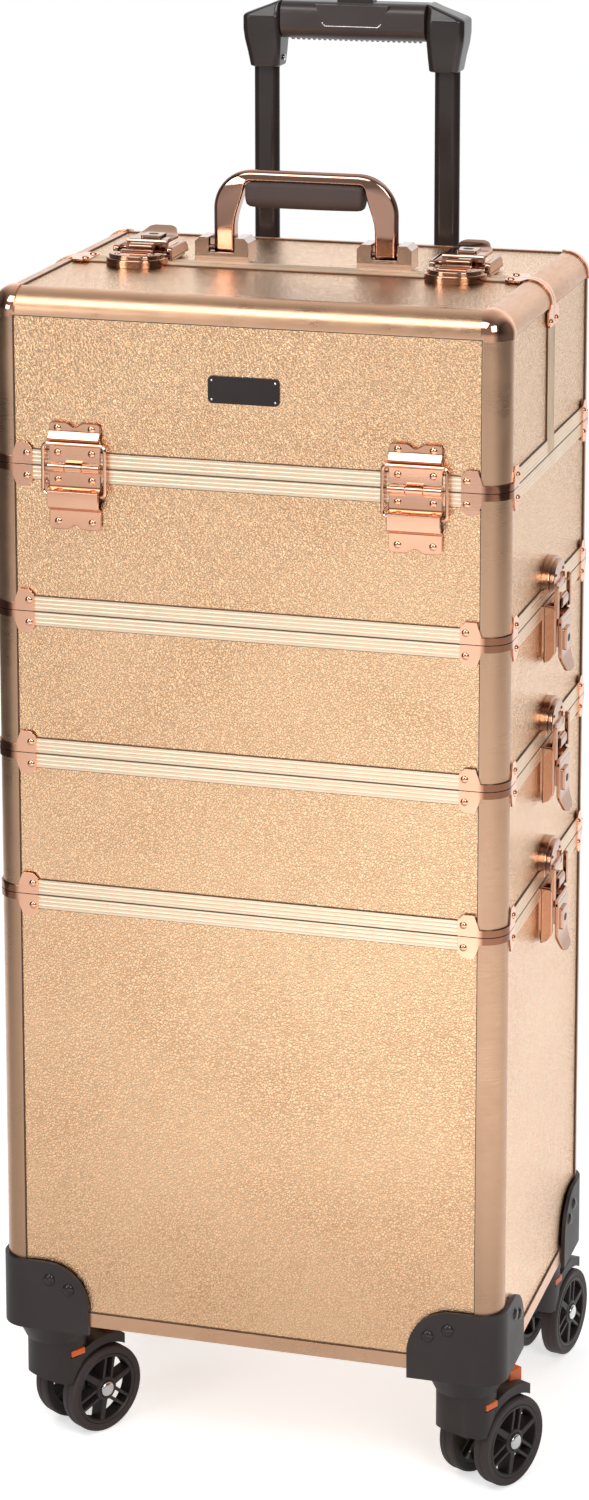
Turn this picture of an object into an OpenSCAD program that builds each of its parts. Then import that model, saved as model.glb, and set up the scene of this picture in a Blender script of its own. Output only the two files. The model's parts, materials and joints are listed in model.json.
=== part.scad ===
// Rolling makeup case: a base trunk on four casters, two lift-off trays, a top case with two lids,
// side and top latches, a carry handle and a telescopic trolley handle.
// The origin is on the floor under the middle of the case, X runs right, Y runs back, Z runs up.

/* [Case] */
// Width of the case across its frame
case_w = 340; // [300:1:400]
// Depth of the case across its frame
case_d = 248; // [230:1:300]
// Height of the case's underside above the floor
foot_h = 93; // [93:1:105]
// Height of the base trunk
base_h = 298.5; // [280:0.5:400]
// Height of the lower tray
lower_tray_h = 96; // [90:0.5:140]
// Height of the upper tray
upper_tray_h = 95; // [90:0.5:140]
// Height of the top case
top_case_h = 97; // [90:0.5:140]
// Height of both lids
lid_h = 113; // [100:0.5:140]
// Gap between one level and the next
seam_gap = 0.3; // [0.2:0.05:0.6]

/* [Frame] */
// Outer radius of the corner posts
post_r = 15; // [13:0.5:16]
// Width of a post's flange, from the edge of the case
flange_w = 16.4; // [16.4:0.1:20]
// Reach of a post's core, from the edge of the case
core_w = 11; // [10:0.5:12]
// Thickness of the wall panels
panel_t = 5; // [4:0.5:5.5]
// Depth of the panels below the frame's outer face
panel_recess = 1.2; // [0.8:0.1:1.6]
// Thickness of the floor panels
floor_t = 4; // [3:0.5:6]
// Height of one edge rail
rail_h = 9.5; // [9:0.5:11]
// Thickness of a rail's cap over the panel's edge
rail_cap = 2; // [1.5:0.1:2.5]
// Height of the locating tongue above a seam
tongue_h = 5; // [3:0.5:6]
// Thickness of the locating tongue
tongue_t = 1.5; // [1:0.1:2]
// Running clearance beside the tongue
tongue_clear = 0.3; // [0.2:0.05:0.5]
// Gap between neighbouring frame pieces
joint_gap = 0.1; // [0.05:0.05:0.2]

/* [Corner clips] */
// Reach of a clip from the edge of the case
clip_reach = 29; // [26:0.5:34]
// Height of a clip's plate
clip_h = 14; // [12:0.5:16]
// Height of the band round the corner
clip_band_h = 4.5; // [3:0.5:6]
// Thickness of a clip
clip_t = 1.2; // [1:0.1:1.5]
// Chamfer at a clip's corner
clip_chamfer = 3.5; // [2:0.5:5]
// Length of a ball corner's leg
ball_leg = 13; // [10:0.5:18]

/* [Hinges] */
// Distance of a hinge from the side of the case
hinge_in = 58; // [52:1:62]
// Width of a hinge leaf
leaf_w = 34.6; // [32:0.2:38]
// Thickness of a hinge leaf
leaf_t = 1.5; // [1.2:0.1:1.8]
// Height of the upper leaf above the seam
leaf_up = 29; // [26:0.5:34]
// Depth of the lower leaf below the seam
leaf_down = 41; // [38:0.5:46]
// Distance of the hinge axis from the case
hinge_out = 3.5; // [3.3:0.1:4]
// Outer radius of the knuckles
knuckle_r = 2.8; // [2.6:0.1:2.9]
// Radius of the hinge pin
hinge_pin_r = 1.4; // [1.2:0.1:1.6]
// Half length of the middle knuckle
knuckle_half = 5.6; // [4:0.2:7]
// Running clearance of pins
pin_clear = 0.05; // [0.02:0.01:0.09]
// Outer width of a stay ring
ring_w = 44; // [42:0.5:50]
// Height of a ring's top bar above the seam
ring_up = 15; // [13:0.5:16]
// Depth of a ring's pivot bar below the seam
ring_down = 18; // [16:0.5:20]
// Radius of the ring's wire
ring_wire_r = 1.25; // [1:0.05:1.4]

/* [Latches] */
// Offset of a top latch from the middle between handle bracket and corner
top_latch_shift = 0.5; // [-4:0.5:4]
// Width of a latch
latch_w = 41; // [39:0.5:44]
// Height of the strike past the seam
strike_up = 28; // [25:0.5:32]
// Distance of the strike from the seam
strike_start = 7; // [6.5:0.5:8]
// Thickness of the strike
strike_t = 7; // [6:0.5:8]
// Length of the latch base below the seam
latch_down = 41; // [40:0.5:46]
// Height of the latch base's side walls
latch_wall_h = 9; // [9:0.1:9.2]
// Thickness of the latch base's side walls
latch_wall_t = 4; // [3:0.5:4.5]
// Thickness of the latch base's floor
latch_floor_t = 2; // [1.5:0.1:2]
// Distance of the lever's pivot from the seam
lever_pivot_v = 12; // [11.5:0.5:13]
// Height of the lever's pivot above the case
lever_pivot_out = 6; // [6:0.1:6.2]
// Width of a latch lever
lever_w = 28; // [26:0.5:30]
// Thickness of a latch lever
lever_t = 2.5; // [2:0.1:3]
// Height of the lever's underside above the case
lever_out = 9.5; // [9.5:0.1:10]
// Reach of the lever's tail from the seam
lever_tail = 47; // [46:0.5:50]
// Radius of the lever's pivot pins
lever_pin_r = 1.5; // [1.2:0.1:1.6]

/* [Carry handle] */
// Outer width of the carry handle
handle_w = 126; // [120:1:140]
// Rise of the handle above its pivot
handle_rise = 53; // [50:1:65]
// Width of a handle leg
handle_leg_w = 15; // [12:0.5:16]
// Thickness of the bar above the soft grip
handle_bar_t = 7.5; // [6:0.5:10]
// Depth of the metal handle
handle_t = 11; // [9:0.5:11]
// Outer corner radius of the handle
handle_r = 27; // [24:1:36]
// Length of the soft grip
soft_grip_w = 80; // [70:1:84]
// Height of the soft grip
soft_grip_h = 17.5; // [15:0.5:20]
// Depth of the soft grip
soft_grip_t = 17; // [14:0.5:20]
// Distance of the handle's pivot behind the lids' seam
handle_y = 18; // [17:0.5:22]
// Height of the handle's pivot above the lid
handle_pivot_up = 8; // [7.6:0.1:9]
// Radius of the handle's pivot pin
handle_pin_r = 2; // [1.8:0.1:2.5]
// Width of a handle bracket
bracket_w = 37; // [34:0.5:42]
// Depth of a handle bracket
bracket_d = 18; // [18:0.5:26]
// Height of a handle bracket
bracket_h = 16; // [14:0.5:18]

/* [Name plate] */
// Width of the name plate
plate_w = 47; // [40:0.5:60]
// Height of the name plate
plate_h = 17.5; // [14:0.5:20]
// Height of the name plate's middle above the lid's seam
plate_z = 55.6; // [45:0.2:65]

/* [Trolley] */
// Distance of a trolley tube from the middle
tube_x = 64; // [58:0.5:66]
// Distance of the tubes' middle behind the case
tube_out = 20; // [18:0.5:24]
// Width of an inner tube
tube_w = 17.6; // [16:0.2:19]
// Depth of an inner tube
tube_d = 11; // [10:0.2:12]
// Wall of every tube
tube_wall = 1.5; // [1.2:0.1:1.8]
// Clearance between one tube and the next
tube_clear = 0.25; // [0.2:0.05:0.4]
// Height of the outer tubes' lower end above the case's underside
outer_start = 12; // [10:1:20]
// Length of an outer tube
outer_len = 282; // [270:1:284]
// Pulled-out length of the middle tubes
middle_out = 245; // [235:1:245]
// Overlap of one tube in the next
tube_overlap = 40; // [36:1:44]
// Height of the grip's top above the floor
grip_top = 953; // [945:1:965]
// Length of the trolley grip
grip_w = 156; // [150:1:164]
// Height of the grip's bar
grip_h = 27; // [24:0.5:32]
// Depth of the grip
grip_d = 29; // [26:0.5:30]
// Height of the grip's end caps
cap_h = 46; // [42:0.5:52]
// Width of the grip's end caps
cap_w = 27; // [26:0.5:30]
// Width of the push button
button_w = 25; // [20:0.5:30]
// Depth of the push button
button_d = 13; // [10:0.5:15]
// Height of the push button above the grip
button_up = 2.5; // [2:0.1:3]
// Height of the push button
button_h = 8; // [7:0.5:10]
// Clearance round the push button
button_clear = 0.3; // [0.2:0.05:0.5]

/* [Corner guards] */
// Reach of a guard along each face
guard_reach = 61; // [58:1:66]
// Height of a guard above the case's underside
guard_up = 43; // [38:0.5:50]
// Corner radius of a guard's flange
guard_r = 30; // [24:1:34]
// Thickness of a guard's flange
guard_t = 2.6; // [2:0.1:3]
// Thickness of a guard's sole
guard_sole = 5; // [4:0.5:6]
// Distance of the caster's stem from both faces
stem_inset = 28; // [27:0.5:30]
// Depth of the guard's neck below the case
neck_down = 20; // [18:0.5:20]
// Radius of the neck at the sole
neck_r1 = 29; // [24:0.5:30]
// Radius of the neck at its lower end
neck_r2 = 21; // [20:0.5:22]

/* [Casters] */
// Diameter of a wheel
wheel_d = 60; // [58:0.5:62]
// Width of a wheel
wheel_w = 12; // [11:0.5:14]
// Distance of a wheel's inner face from the caster's middle
wheel_in = 8.6; // [8.2:0.1:10]
// Distance of the axle behind the swivel stem
trail = 26; // [24:0.5:27]
// Radius of the axle
axle_r = 3; // [2.5:0.1:3.5]
// Radius of the swivel stem
stem_r = 5; // [4:0.1:5.5]
// Radius of the caster's neck
caster_neck_r = 20; // [19:0.5:21]
// Half width of the housing's middle web
web_half = 7.8; // [7:0.2:8]
// Clearance of the housing over the wheels
wheel_clear = 2; // [1.5:0.1:2.5]
// Length of the fender behind the stem
fender_len = 43; // [40:0.5:46]
// Half width of the fender
fender_half = 19; // [18.5:0.5:22]
// Thickness of the fender
fender_t = 6.5; // [6.5:0.1:7]
// Width of the brake pedal
pedal_w = 22; // [16:0.5:24]
// Turn of the front left caster
turn_fl = 58; // [0:1:359]
// Turn of the front right caster
turn_fr = 64; // [0:1:359]
// Turn of the rear right caster
turn_rr = 80; // [0:1:359]
// Turn of the rear left caster
turn_rl = 65; // [0:1:359]

/* [Hidden] */
$fn = 48;

rose = "#dcb48c";
satin = "#deb48c";
polish = "#e6a082";
black = "#3a3432";
orange = "#dc5f28";
steel = "#c4c6c8";

// Small allowance that carries a cut past the face it opens
cut = 1;
// Depth of a panel's inner face, and of the tongue behind it
inner_d = panel_recess + panel_t;
tongue_d = inner_d + tongue_clear;
half_gap = seam_gap / 2;
// Heights of the seams
base_z = foot_h;
s4 = base_z + base_h;
s3 = s4 + lower_tray_h;
s2 = s3 + upper_tray_h;
s1 = s2 + top_case_h;
top_z = s1 + lid_h;
half_w = case_w / 2;
half_d = case_d / 2;
hinge_x = half_w - hinge_in;
handle_leg_x = handle_w / 2 - handle_leg_w / 2;
top_latch_x = (handle_leg_x + bracket_w / 2 + half_w - clip_reach) / 2 + top_latch_shift;
// A floor panel stands clear of the tongue below it
floor_clear = 2;
floor_rise = tongue_h + floor_clear;
// A fitting's plate is smaller than the fitting by this inset where it fills the frame's recess
pad_inset = 2;

// One copy for each corner of the case, with the corner at the origin and the case towards +X and +Y
module at_corners(ys = [-1, 1]) {
  for (sx = [-1, 1]) {
    for (sy = ys) {
      translate([sx * half_w, sy * half_d, 0])
        mirror([sx > 0 ? 1 : 0, 0, 0])
          mirror([0, sy > 0 ? 1 : 0, 0])
            children();
    }
  }
}

// Frames of reference on a face: X along the face, Y up the face or away from the seam, Z outwards
module on_front(x, z) {
  translate([x, -half_d, z]) rotate([90, 0, 0]) children();
}

module on_rear(x, z) {
  translate([x, half_d, z]) rotate([90, 0, 180]) children();
}

module on_side(side, z) {
  translate([side * half_w, 0, z]) rotate([90, 0, side * 90]) children();
}

module on_top(x) {
  translate([x, 0, top_z]) rotate([0, 0, 180]) children();
}

// Box from its low corner to its high corner
module span(low, high) {
  translate(low) cube(high - low);
}

// Frame pieces

// Section of a corner post, with the corner of the case at the origin
module post_section() {
  difference() {
    union() {
      square([flange_w, panel_recess]);
      square([panel_recess, flange_w]);
      polygon([[0, 0], [core_w, 0], [core_w, inner_d], [inner_d, core_w], [0, core_w]]);
    }
    difference() {
      translate([-cut, -cut]) square(post_r + cut);
      translate([post_r, post_r]) circle(post_r);
    }
  }
}

module posts(low, high) {
  at_corners() translate([0, 0, low]) linear_extrude(high - low) post_section();
}

// One edge rail of a length, on its seam at z = 0, running along X with the case towards +Y.
// The lower rail of a seam hangs down and carries the tongue, the upper one stands up.
module lower_rail(length) {
  span([-length / 2, 0, -rail_h], [length / 2, panel_recess, 0]);
  cap_len = length + 2 * (flange_w - core_w);
  span([-length / 2, 0, -rail_cap], [length / 2, tongue_d + tongue_t, 0]);
  span([-cap_len / 2, panel_recess + joint_gap, -rail_cap], [cap_len / 2, tongue_d + tongue_t, 0]);
  span([-length / 2, tongue_d, -rail_h], [length / 2, tongue_d + tongue_t, tongue_h]);
}

module upper_rail(length) {
  span([-length / 2, 0, 0], [length / 2, panel_recess, rail_h]);
  cap_len = length + 2 * (flange_w - core_w);
  span([-length / 2, 0, 0], [length / 2, inner_d, rail_cap]);
  span([-cap_len / 2, panel_recess + joint_gap, 0], [cap_len / 2, inner_d, rail_cap]);
}

rail_front_len = case_w - 2 * flange_w - 2 * joint_gap;
rail_side_len = case_d - 2 * flange_w - 2 * joint_gap;

module rails_round(z, upper) {
  for (turn = [0, 180]) {
    rotate([0, 0, turn]) translate([0, -half_d, z]) {
      if (upper) upper_rail(rail_front_len);
      else lower_rail(rail_front_len);
    }
    rotate([0, 0, turn + 90]) translate([0, -half_w, z]) {
      if (upper) upper_rail(rail_side_len);
      else lower_rail(rail_side_len);
    }
  }
}

// Posts and rails of one level between two seams
module level_frame(low, high) {
  posts(low + half_gap, high - half_gap);
  rails_round(low + half_gap, true);
  rails_round(high - half_gap, false);
}

// Walls and floor of one level between two seams
module level_panels(low, high, floor_z) {
  z1 = low + half_gap + rail_cap;
  z2 = high - half_gap - rail_cap;
  wall_x = half_w - core_w - joint_gap;
  wall_y = half_d - core_w - joint_gap;
  for (side = [-1, 1]) {
    span([-wall_x, side * (half_d - panel_recess - panel_t / 2) - panel_t / 2, z1],
         [wall_x, side * (half_d - panel_recess - panel_t / 2) + panel_t / 2, z2]);
    span([side * (half_w - panel_recess - panel_t / 2) - panel_t / 2, -wall_y, z1],
         [side * (half_w - panel_recess - panel_t / 2) + panel_t / 2, wall_y, z2]);
  }
  floor_x = half_w - inner_d - joint_gap;
  floor_y = half_d - inner_d - joint_gap;
  span([-floor_x, -wall_y, floor_z], [floor_x, wall_y, floor_z + floor_t]);
  span([-wall_x, -floor_y, floor_z], [wall_x, floor_y, floor_z + floor_t]);
}

// Outline of a clip's plate past the corner, along +X from the post's round, above the seam
module clip_outline() {
  polygon([[post_r, 0], [clip_reach, 0], [clip_reach, clip_h - clip_chamfer],
           [clip_reach - clip_chamfer, clip_h], [post_r + clip_chamfer, clip_h], [post_r, clip_band_h]]);
}

// A clip round one corner, on its seam at z = 0, standing up
module clip_up() {
  rotate([90, 0, 0]) linear_extrude(clip_t) clip_outline();
  mirror([1, -1, 0]) rotate([90, 0, 0]) linear_extrude(clip_t) clip_outline();
  intersection() {
    translate([post_r, post_r, 0]) difference() {
      cylinder(r = post_r + clip_t, h = clip_band_h);
      translate([0, 0, -cut]) cylinder(r = post_r + joint_gap, h = clip_band_h + 2 * cut);
    }
    span([-clip_t, -clip_t, 0], [post_r + joint_gap, post_r + joint_gap, clip_band_h]);
  }
}

module clips_above(seam, ys = [-1, 1]) {
  at_corners(ys) translate([0, 0, seam + half_gap + joint_gap]) clip_up();
}

module clips_below(seam) {
  at_corners() translate([0, 0, seam - half_gap - joint_gap]) mirror([0, 0, 1]) clip_up();
}

// Latch pieces, on the seam at the origin: X across, Y towards the strike, Z outwards

rail_edge = rail_h + half_gap + joint_gap;

module strike() {
  strike_r = strike_up - strike_start;
  intersection() {
    translate([0, strike_start, 0]) cylinder(r = strike_r, h = strike_t);
    span([-latch_w / 2, strike_start, 0], [latch_w / 2, strike_up + cut, strike_t]);
  }
  intersection() {
    translate([0, strike_start, -panel_recess]) cylinder(r = strike_r - pad_inset, h = panel_recess);
    span([-latch_w / 2, rail_edge, -panel_recess], [latch_w / 2, strike_up, 0]);
  }
}

claw_w = 16;
claw_t = 3;
claw_r = 2.4;
claw_out = 9;
claw_v = 1.5;
claw_back = 1;

module latch_base() {
  wall_in = latch_w / 2 - latch_wall_t;
  difference() {
    union() {
      span([-latch_w / 2, -latch_down, 0], [latch_w / 2, -half_gap - joint_gap, latch_floor_t]);
      span([-latch_w / 2 + pad_inset, -latch_down + pad_inset, -panel_recess],
           [latch_w / 2 - pad_inset, -rail_edge, 0]);
      for (side = [-1, 1]) {
        wall_x = side * (wall_in + latch_wall_t / 2);
        span([wall_x - latch_wall_t / 2, -latch_down, 0],
             [wall_x + latch_wall_t / 2, -half_gap - joint_gap, latch_wall_h]);
      }
      span([-claw_w / 2, -claw_t - claw_back, 0], [claw_w / 2, -claw_back, claw_out]);
      translate([-claw_w / 2, claw_v, claw_out]) rotate([0, 90, 0]) cylinder(r = claw_r, h = claw_w);
      span([-claw_w / 2, -claw_t - claw_back, claw_out], [claw_w / 2, claw_v, claw_out + claw_r]);
    }
    translate([-latch_w / 2 - cut, -lever_pivot_v, lever_pivot_out])
      rotate([0, 90, 0]) cylinder(r = lever_pin_r + pin_clear, h = latch_w + 2 * cut);
  }
}

lever_ear_r = 3.2;
lever_ear_t = 4;
lever_ear_front = 2;
lever_nose = 1;
lever_tail_flat = 38;
lever_tail_out = 18;
lever_lip = 1.5;
lock_r = 7;
lock_t = 1.6;
keyhole_w = 1.6;
keyhole_h = 6;
keyhole_depth = 1;

module latch_lever() {
  lever_end = lever_pivot_v + lever_nose;
  lever_top = lever_out + lever_t;
  lock_v = -(lever_end + lever_tail_flat) / 2;
  translate([-lever_w / 2, 0, 0]) rotate([90, 0, 90]) linear_extrude(lever_w)
    polygon([[-lever_end, lever_out], [-lever_end, lever_top], [-lever_tail_flat, lever_top],
             [-lever_tail + lever_lip, lever_tail_out], [-lever_tail, lever_tail_out - lever_lip],
             [-lever_tail_flat - lever_nose, lever_out]]);
  for (side = [-1, 1]) {
    ear_x = side * (lever_w / 2 - lever_ear_t / 2);
    translate([ear_x - lever_ear_t / 2, -lever_pivot_v, lever_pivot_out])
      rotate([0, 90, 0]) cylinder(r = lever_ear_r, h = lever_ear_t);
    span([ear_x - lever_ear_t / 2, -lever_pivot_v - lever_ear_r, lever_pivot_out],
         [ear_x + lever_ear_t / 2, -lever_pivot_v + lever_ear_front, lever_top]);
    pin_len = latch_w / 2 - joint_gap - lever_w / 2;
    translate([side > 0 ? lever_w / 2 : -lever_w / 2 - pin_len, -lever_pivot_v, lever_pivot_out])
      rotate([0, 90, 0]) cylinder(r = lever_pin_r, h = pin_len);
  }
  difference() {
    translate([0, lock_v, lever_top]) cylinder(r = lock_r, h = lock_t);
    span([-keyhole_w / 2, lock_v - keyhole_h / 2, lever_top + lock_t - keyhole_depth],
         [keyhole_w / 2, lock_v + keyhole_h / 2, lever_top + lock_t + cut]);
  }
}

// Hinge pieces, on the seam at the origin: X across, Y up, Z outwards

leaf_start = 3.3;
tunnel_half = 4;
tunnel_out = 7;
ridge_v = 17.5;
ridge_h = 3;
ridge_out = 5;
knuckle_gap = 0.35;
// Clearance of the knuckles' roots from the seam, and the overlap of a root on its leaf
root_gap = 0.6;
root_lap = 0.5;

// Cylinder along X through a point of the hinge's section
module hinge_bar(v, r, x1, x2) {
  translate([x1, v, hinge_out]) rotate([0, 90, 0]) cylinder(r = r, h = x2 - x1);
}

module hinge_upper_leaf() {
  span([-leaf_w / 2, leaf_start, 0], [leaf_w / 2, leaf_up, leaf_t]);
  span([-leaf_w / 2 + pad_inset, rail_edge, -panel_recess],
       [leaf_w / 2 - pad_inset, leaf_up - pad_inset, 0]);
  span([-leaf_w / 2, ridge_v, 0], [leaf_w / 2, ridge_v + ridge_h, ridge_out]);
  difference() {
    union() {
      hinge_bar(0, knuckle_r, -knuckle_half, knuckle_half);
      span([-knuckle_half, root_gap, root_lap], [knuckle_half, leaf_start, hinge_out]);
      span([-knuckle_half, leaf_start - joint_gap, 0], [knuckle_half, leaf_start + root_lap, leaf_t]);
    }
    hinge_bar(0, hinge_pin_r + pin_clear, -leaf_w, leaf_w);
  }
}

module hinge_lower_leaf() {
  span([-leaf_w / 2, -leaf_down, 0], [leaf_w / 2, -leaf_start, leaf_t]);
  span([-leaf_w / 2 + pad_inset, -leaf_down + pad_inset, -panel_recess],
       [leaf_w / 2 - pad_inset, -rail_edge, 0]);
  difference() {
    span([-leaf_w / 2, -ring_down - tunnel_half, 0],
         [leaf_w / 2, -ring_down + tunnel_half, tunnel_out]);
    hinge_bar(-ring_down, ring_wire_r + pin_clear, -leaf_w, leaf_w);
  }
  for (side = [-1, 1]) {
    inner = side * (knuckle_half + knuckle_gap);
    x1 = min(inner, side * leaf_w / 2);
    x2 = max(inner, side * leaf_w / 2);
    hinge_bar(0, knuckle_r, x1, x2);
    span([x1, -leaf_start - root_lap, 0], [x2, -root_gap, hinge_out]);
  }
  hinge_bar(0, hinge_pin_r, -leaf_w / 2, leaf_w / 2);
}

module hinge_ring() {
  bar_x = ring_w / 2 - ring_wire_r;
  for (v = [-ring_down, ring_up]) {
    hinge_bar(v, ring_wire_r, -bar_x, bar_x);
  }
  for (side = [-1, 1]) {
    translate([side * bar_x, -ring_down, hinge_out]) rotate([-90, 0, 0])
      cylinder(r = ring_wire_r, h = ring_up + ring_down);
    for (v = [-ring_down, ring_up]) {
      translate([side * bar_x, v, hinge_out]) sphere(ring_wire_r);
    }
  }
}

// Base trunk

module base_panels() {
  color(rose) level_panels(base_z, s4, base_z + half_gap + rail_cap);
}

module base_frame() {
  color(satin) level_frame(base_z, s4);
}

module base_corner_clips() {
  color(polish) clips_below(s4);
}

// Cut back of the sole's inner corner, and the overlap of the neck on the sole
sole_back = 8;
neck_lap = 1;

// One guard at a corner, with the corner at the origin and z = 0 at the case's underside
module corner_guard() {
  wall = guard_reach - guard_r;
  sole_reach = guard_reach - sole_back;
  face_outline_h = guard_up + guard_sole;
  difference() {
    union() {
      for (flip = [0, 1]) {
        mirror([flip, -flip, 0]) rotate([90, 0, 0]) linear_extrude(guard_t) union() {
          translate([post_r, -guard_sole]) square([wall - post_r, face_outline_h]);
          translate([post_r, -guard_sole]) square([guard_reach - post_r, face_outline_h - guard_r]);
          intersection() {
            translate([wall, guard_up - guard_r]) circle(guard_r);
            translate([wall, guard_up - guard_r]) square(guard_r + cut);
          }
        }
      }
      intersection() {
        translate([post_r, post_r, -guard_sole]) difference() {
          cylinder(r = post_r + guard_t, h = face_outline_h);
          translate([0, 0, guard_sole]) cylinder(r = post_r + joint_gap, h = face_outline_h);
        }
        span([-guard_t, -guard_t, -guard_sole], [post_r, post_r, guard_up]);
      }
      span([post_r, 0, -guard_sole], [sole_reach, sole_reach, 0]);
      span([0, post_r, -guard_sole], [post_r + cut, sole_reach, 0]);
      translate([stem_inset, stem_inset, -neck_down])
        cylinder(r1 = neck_r2, r2 = neck_r1, h = neck_down - guard_sole + neck_lap);
    }
    translate([stem_inset, stem_inset, -neck_down - cut])
      cylinder(r = stem_r + pin_clear, h = neck_down + 2 * cut);
  }
}

module base_corner_guards() {
  color(black) at_corners() translate([0, 0, base_z]) corner_guard();
}

module base_latch_bases() {
  color(polish) for (side = [-1, 1]) on_side(side, s4) latch_base();
}

// Trays

module lower_tray_panels() {
  color(rose) level_panels(s4, s3, s4 + floor_rise);
}

module lower_tray_frame() {
  color(satin) level_frame(s4, s3);
}

module lower_tray_corner_clips() {
  color(polish) {
    clips_above(s4);
    clips_below(s3);
  }
}

module lower_tray_latch_plates() {
  color(polish) for (side = [-1, 1]) {
    on_side(side, s4) strike();
    on_side(side, s3) latch_base();
  }
}

module upper_tray_panels() {
  color(rose) level_panels(s3, s2, s3 + floor_rise);
}

module upper_tray_frame() {
  color(satin) level_frame(s3, s2);
}

module upper_tray_corner_clips() {
  color(polish) {
    clips_above(s3);
    clips_below(s2);
  }
}

module upper_tray_latch_plates() {
  color(polish) for (side = [-1, 1]) {
    on_side(side, s3) strike();
    on_side(side, s2) latch_base();
  }
}

// Top case

module top_case_panels() {
  color(rose) level_panels(s2, s1, s2 + floor_rise);
}

module top_case_frame() {
  color(satin) level_frame(s2, s1);
}

module top_case_corner_clips() {
  color(polish) {
    clips_above(s2);
    clips_below(s1);
  }
}

module top_case_fittings() {
  color(polish) {
    for (side = [-1, 1]) {
      on_side(side, s2) strike();
      on_front(side * hinge_x, s1) hinge_lower_leaf();
      on_rear(side * hinge_x, s1) hinge_lower_leaf();
    }
  }
}

// Lids: the front lid is drawn, and the rear lid is its mirror image

lid_low = s1 + half_gap;
lid_seam_y = -half_gap;
lid_side_len = half_d - flange_w - joint_gap - half_gap;

module lid_panels() {
  wall_x = half_w - core_w - joint_gap;
  wall_y = half_d - core_w - joint_gap;
  wall_z = top_z - core_w - joint_gap;
  z1 = lid_low + rail_cap;
  y2 = lid_seam_y - rail_cap;
  span([-wall_x, -half_d + panel_recess, z1], [wall_x, -half_d + inner_d, wall_z]);
  for (side = [-1, 1]) {
    span([side * (half_w - panel_recess - panel_t / 2) - panel_t / 2, -wall_y, z1],
         [side * (half_w - panel_recess - panel_t / 2) + panel_t / 2, y2, wall_z]);
  }
  span([-wall_x, -wall_y, top_z - inner_d], [wall_x, y2, top_z - panel_recess]);
}

// One half rail along the lids' seam, from z = 0 up, with the seam at y = 0 and the face at x = 0
module seam_rail(length) {
  span([0, -rail_h, 0], [panel_recess, 0, length]);
  span([0, -rail_cap, 0], [inner_d, 0, length]);
}

module lid_frame() {
  post_len = top_z - post_r - joint_gap - lid_low;
  at_corners([-1]) translate([0, 0, lid_low]) linear_extrude(post_len) post_section();
  edge_len = case_w - 2 * post_r - 2 * joint_gap;
  translate([-edge_len / 2, -half_d, top_z]) rotate([0, 90, 0]) linear_extrude(edge_len)
    post_section();
  side_edge = half_d - post_r - joint_gap - half_gap;
  for (side = [0, 1]) {
    mirror([side, 0, 0]) translate([-half_w, lid_seam_y, top_z]) rotate([90, 90, 0])
      linear_extrude(side_edge) post_section();
  }
  translate([0, -half_d, lid_low]) upper_rail(rail_front_len);
  rail_y1 = lid_seam_y - lid_side_len;
  rail_y2 = lid_seam_y - rail_h - joint_gap;
  for (side = [0, 1]) {
    mirror([side, 0, 0]) translate([-half_w, 0, 0]) {
      span([0, rail_y1, lid_low], [panel_recess, rail_y2, lid_low + rail_h]);
      span([0, rail_y1, lid_low], [inner_d, rail_y2, lid_low + rail_cap]);
      translate([0, lid_seam_y, lid_low]) seam_rail(top_z - flange_w - joint_gap - lid_low);
    }
  }
  translate([-rail_front_len / 2, lid_seam_y, top_z]) rotate([0, 90, 0]) seam_rail(rail_front_len);
}

// Polished ball corner with three legs, its corner at the origin, the case towards +X, +Y and -Z
module ball_corner() {
  intersection() {
    translate([post_r, post_r, -post_r]) difference() {
      sphere(post_r + clip_t);
      sphere(post_r + joint_gap);
    }
    span([-clip_t, -clip_t, -post_r], [post_r, post_r, clip_t]);
  }
  for (axis = [0, 1, 2]) {
    ball_leg_along(axis) linear_extrude(ball_leg) difference() {
      intersection() {
        translate([post_r, post_r]) circle(post_r + clip_t);
        translate([-clip_t, -clip_t]) square(post_r + clip_t);
      }
      translate([post_r, post_r]) circle(post_r + joint_gap);
    }
  }
}

// Stands a leg's section on the ball: down the post, along the front edge, along the side edge
module ball_leg_along(axis) {
  if (axis == 0) translate([0, 0, -post_r - ball_leg]) children();
  if (axis == 1) translate([post_r, 0, 0]) rotate([0, 90, 0]) children();
  if (axis == 2) translate([0, post_r + ball_leg, 0]) rotate([90, 90, 0]) children();
}

// Clip over the side edge at the lids' seam, drawn on the left edge with the seam at y = 0
module edge_clip() {
  translate([-half_w, lid_seam_y - joint_gap, top_z]) rotate([90, 90, 0]) clip_up();
}

module lid_corners() {
  clips_above(s1, [-1]);
  at_corners([-1]) translate([0, 0, top_z]) ball_corner();
  for (side = [0, 1]) mirror([side, 0, 0]) edge_clip();
}

module front_lid_panels() {
  color(rose) lid_panels();
}

module front_lid_frame() {
  color(satin) lid_frame();
}

module front_lid_corners() {
  color(polish) lid_corners();
}

module front_lid_fittings() {
  color(polish) for (side = [-1, 1]) {
    on_front(side * hinge_x, s1) hinge_upper_leaf();
    on_top(side * top_latch_x) strike();
  }
}

plate_t = 1;
plate_r = 3;

module name_plate() {
  color(black) on_front(0, s1 + plate_z) translate([0, 0, -panel_recess]) linear_extrude(plate_t)
    union() {
      square([plate_w - 2 * plate_r, plate_h], center = true);
      square([plate_w, plate_h - 2 * plate_r], center = true);
      for (sx = [-1, 1]) {
        for (sy = [-1, 1]) {
          translate([sx * (plate_w / 2 - plate_r), sy * (plate_h / 2 - plate_r)]) circle(plate_r);
        }
      }
    }
}

module rear_lid_panels() {
  color(rose) mirror([0, 1, 0]) lid_panels();
}

module rear_lid_frame() {
  color(satin) mirror([0, 1, 0]) lid_frame();
}

module rear_lid_corners() {
  color(polish) mirror([0, 1, 0]) lid_corners();
}

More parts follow.
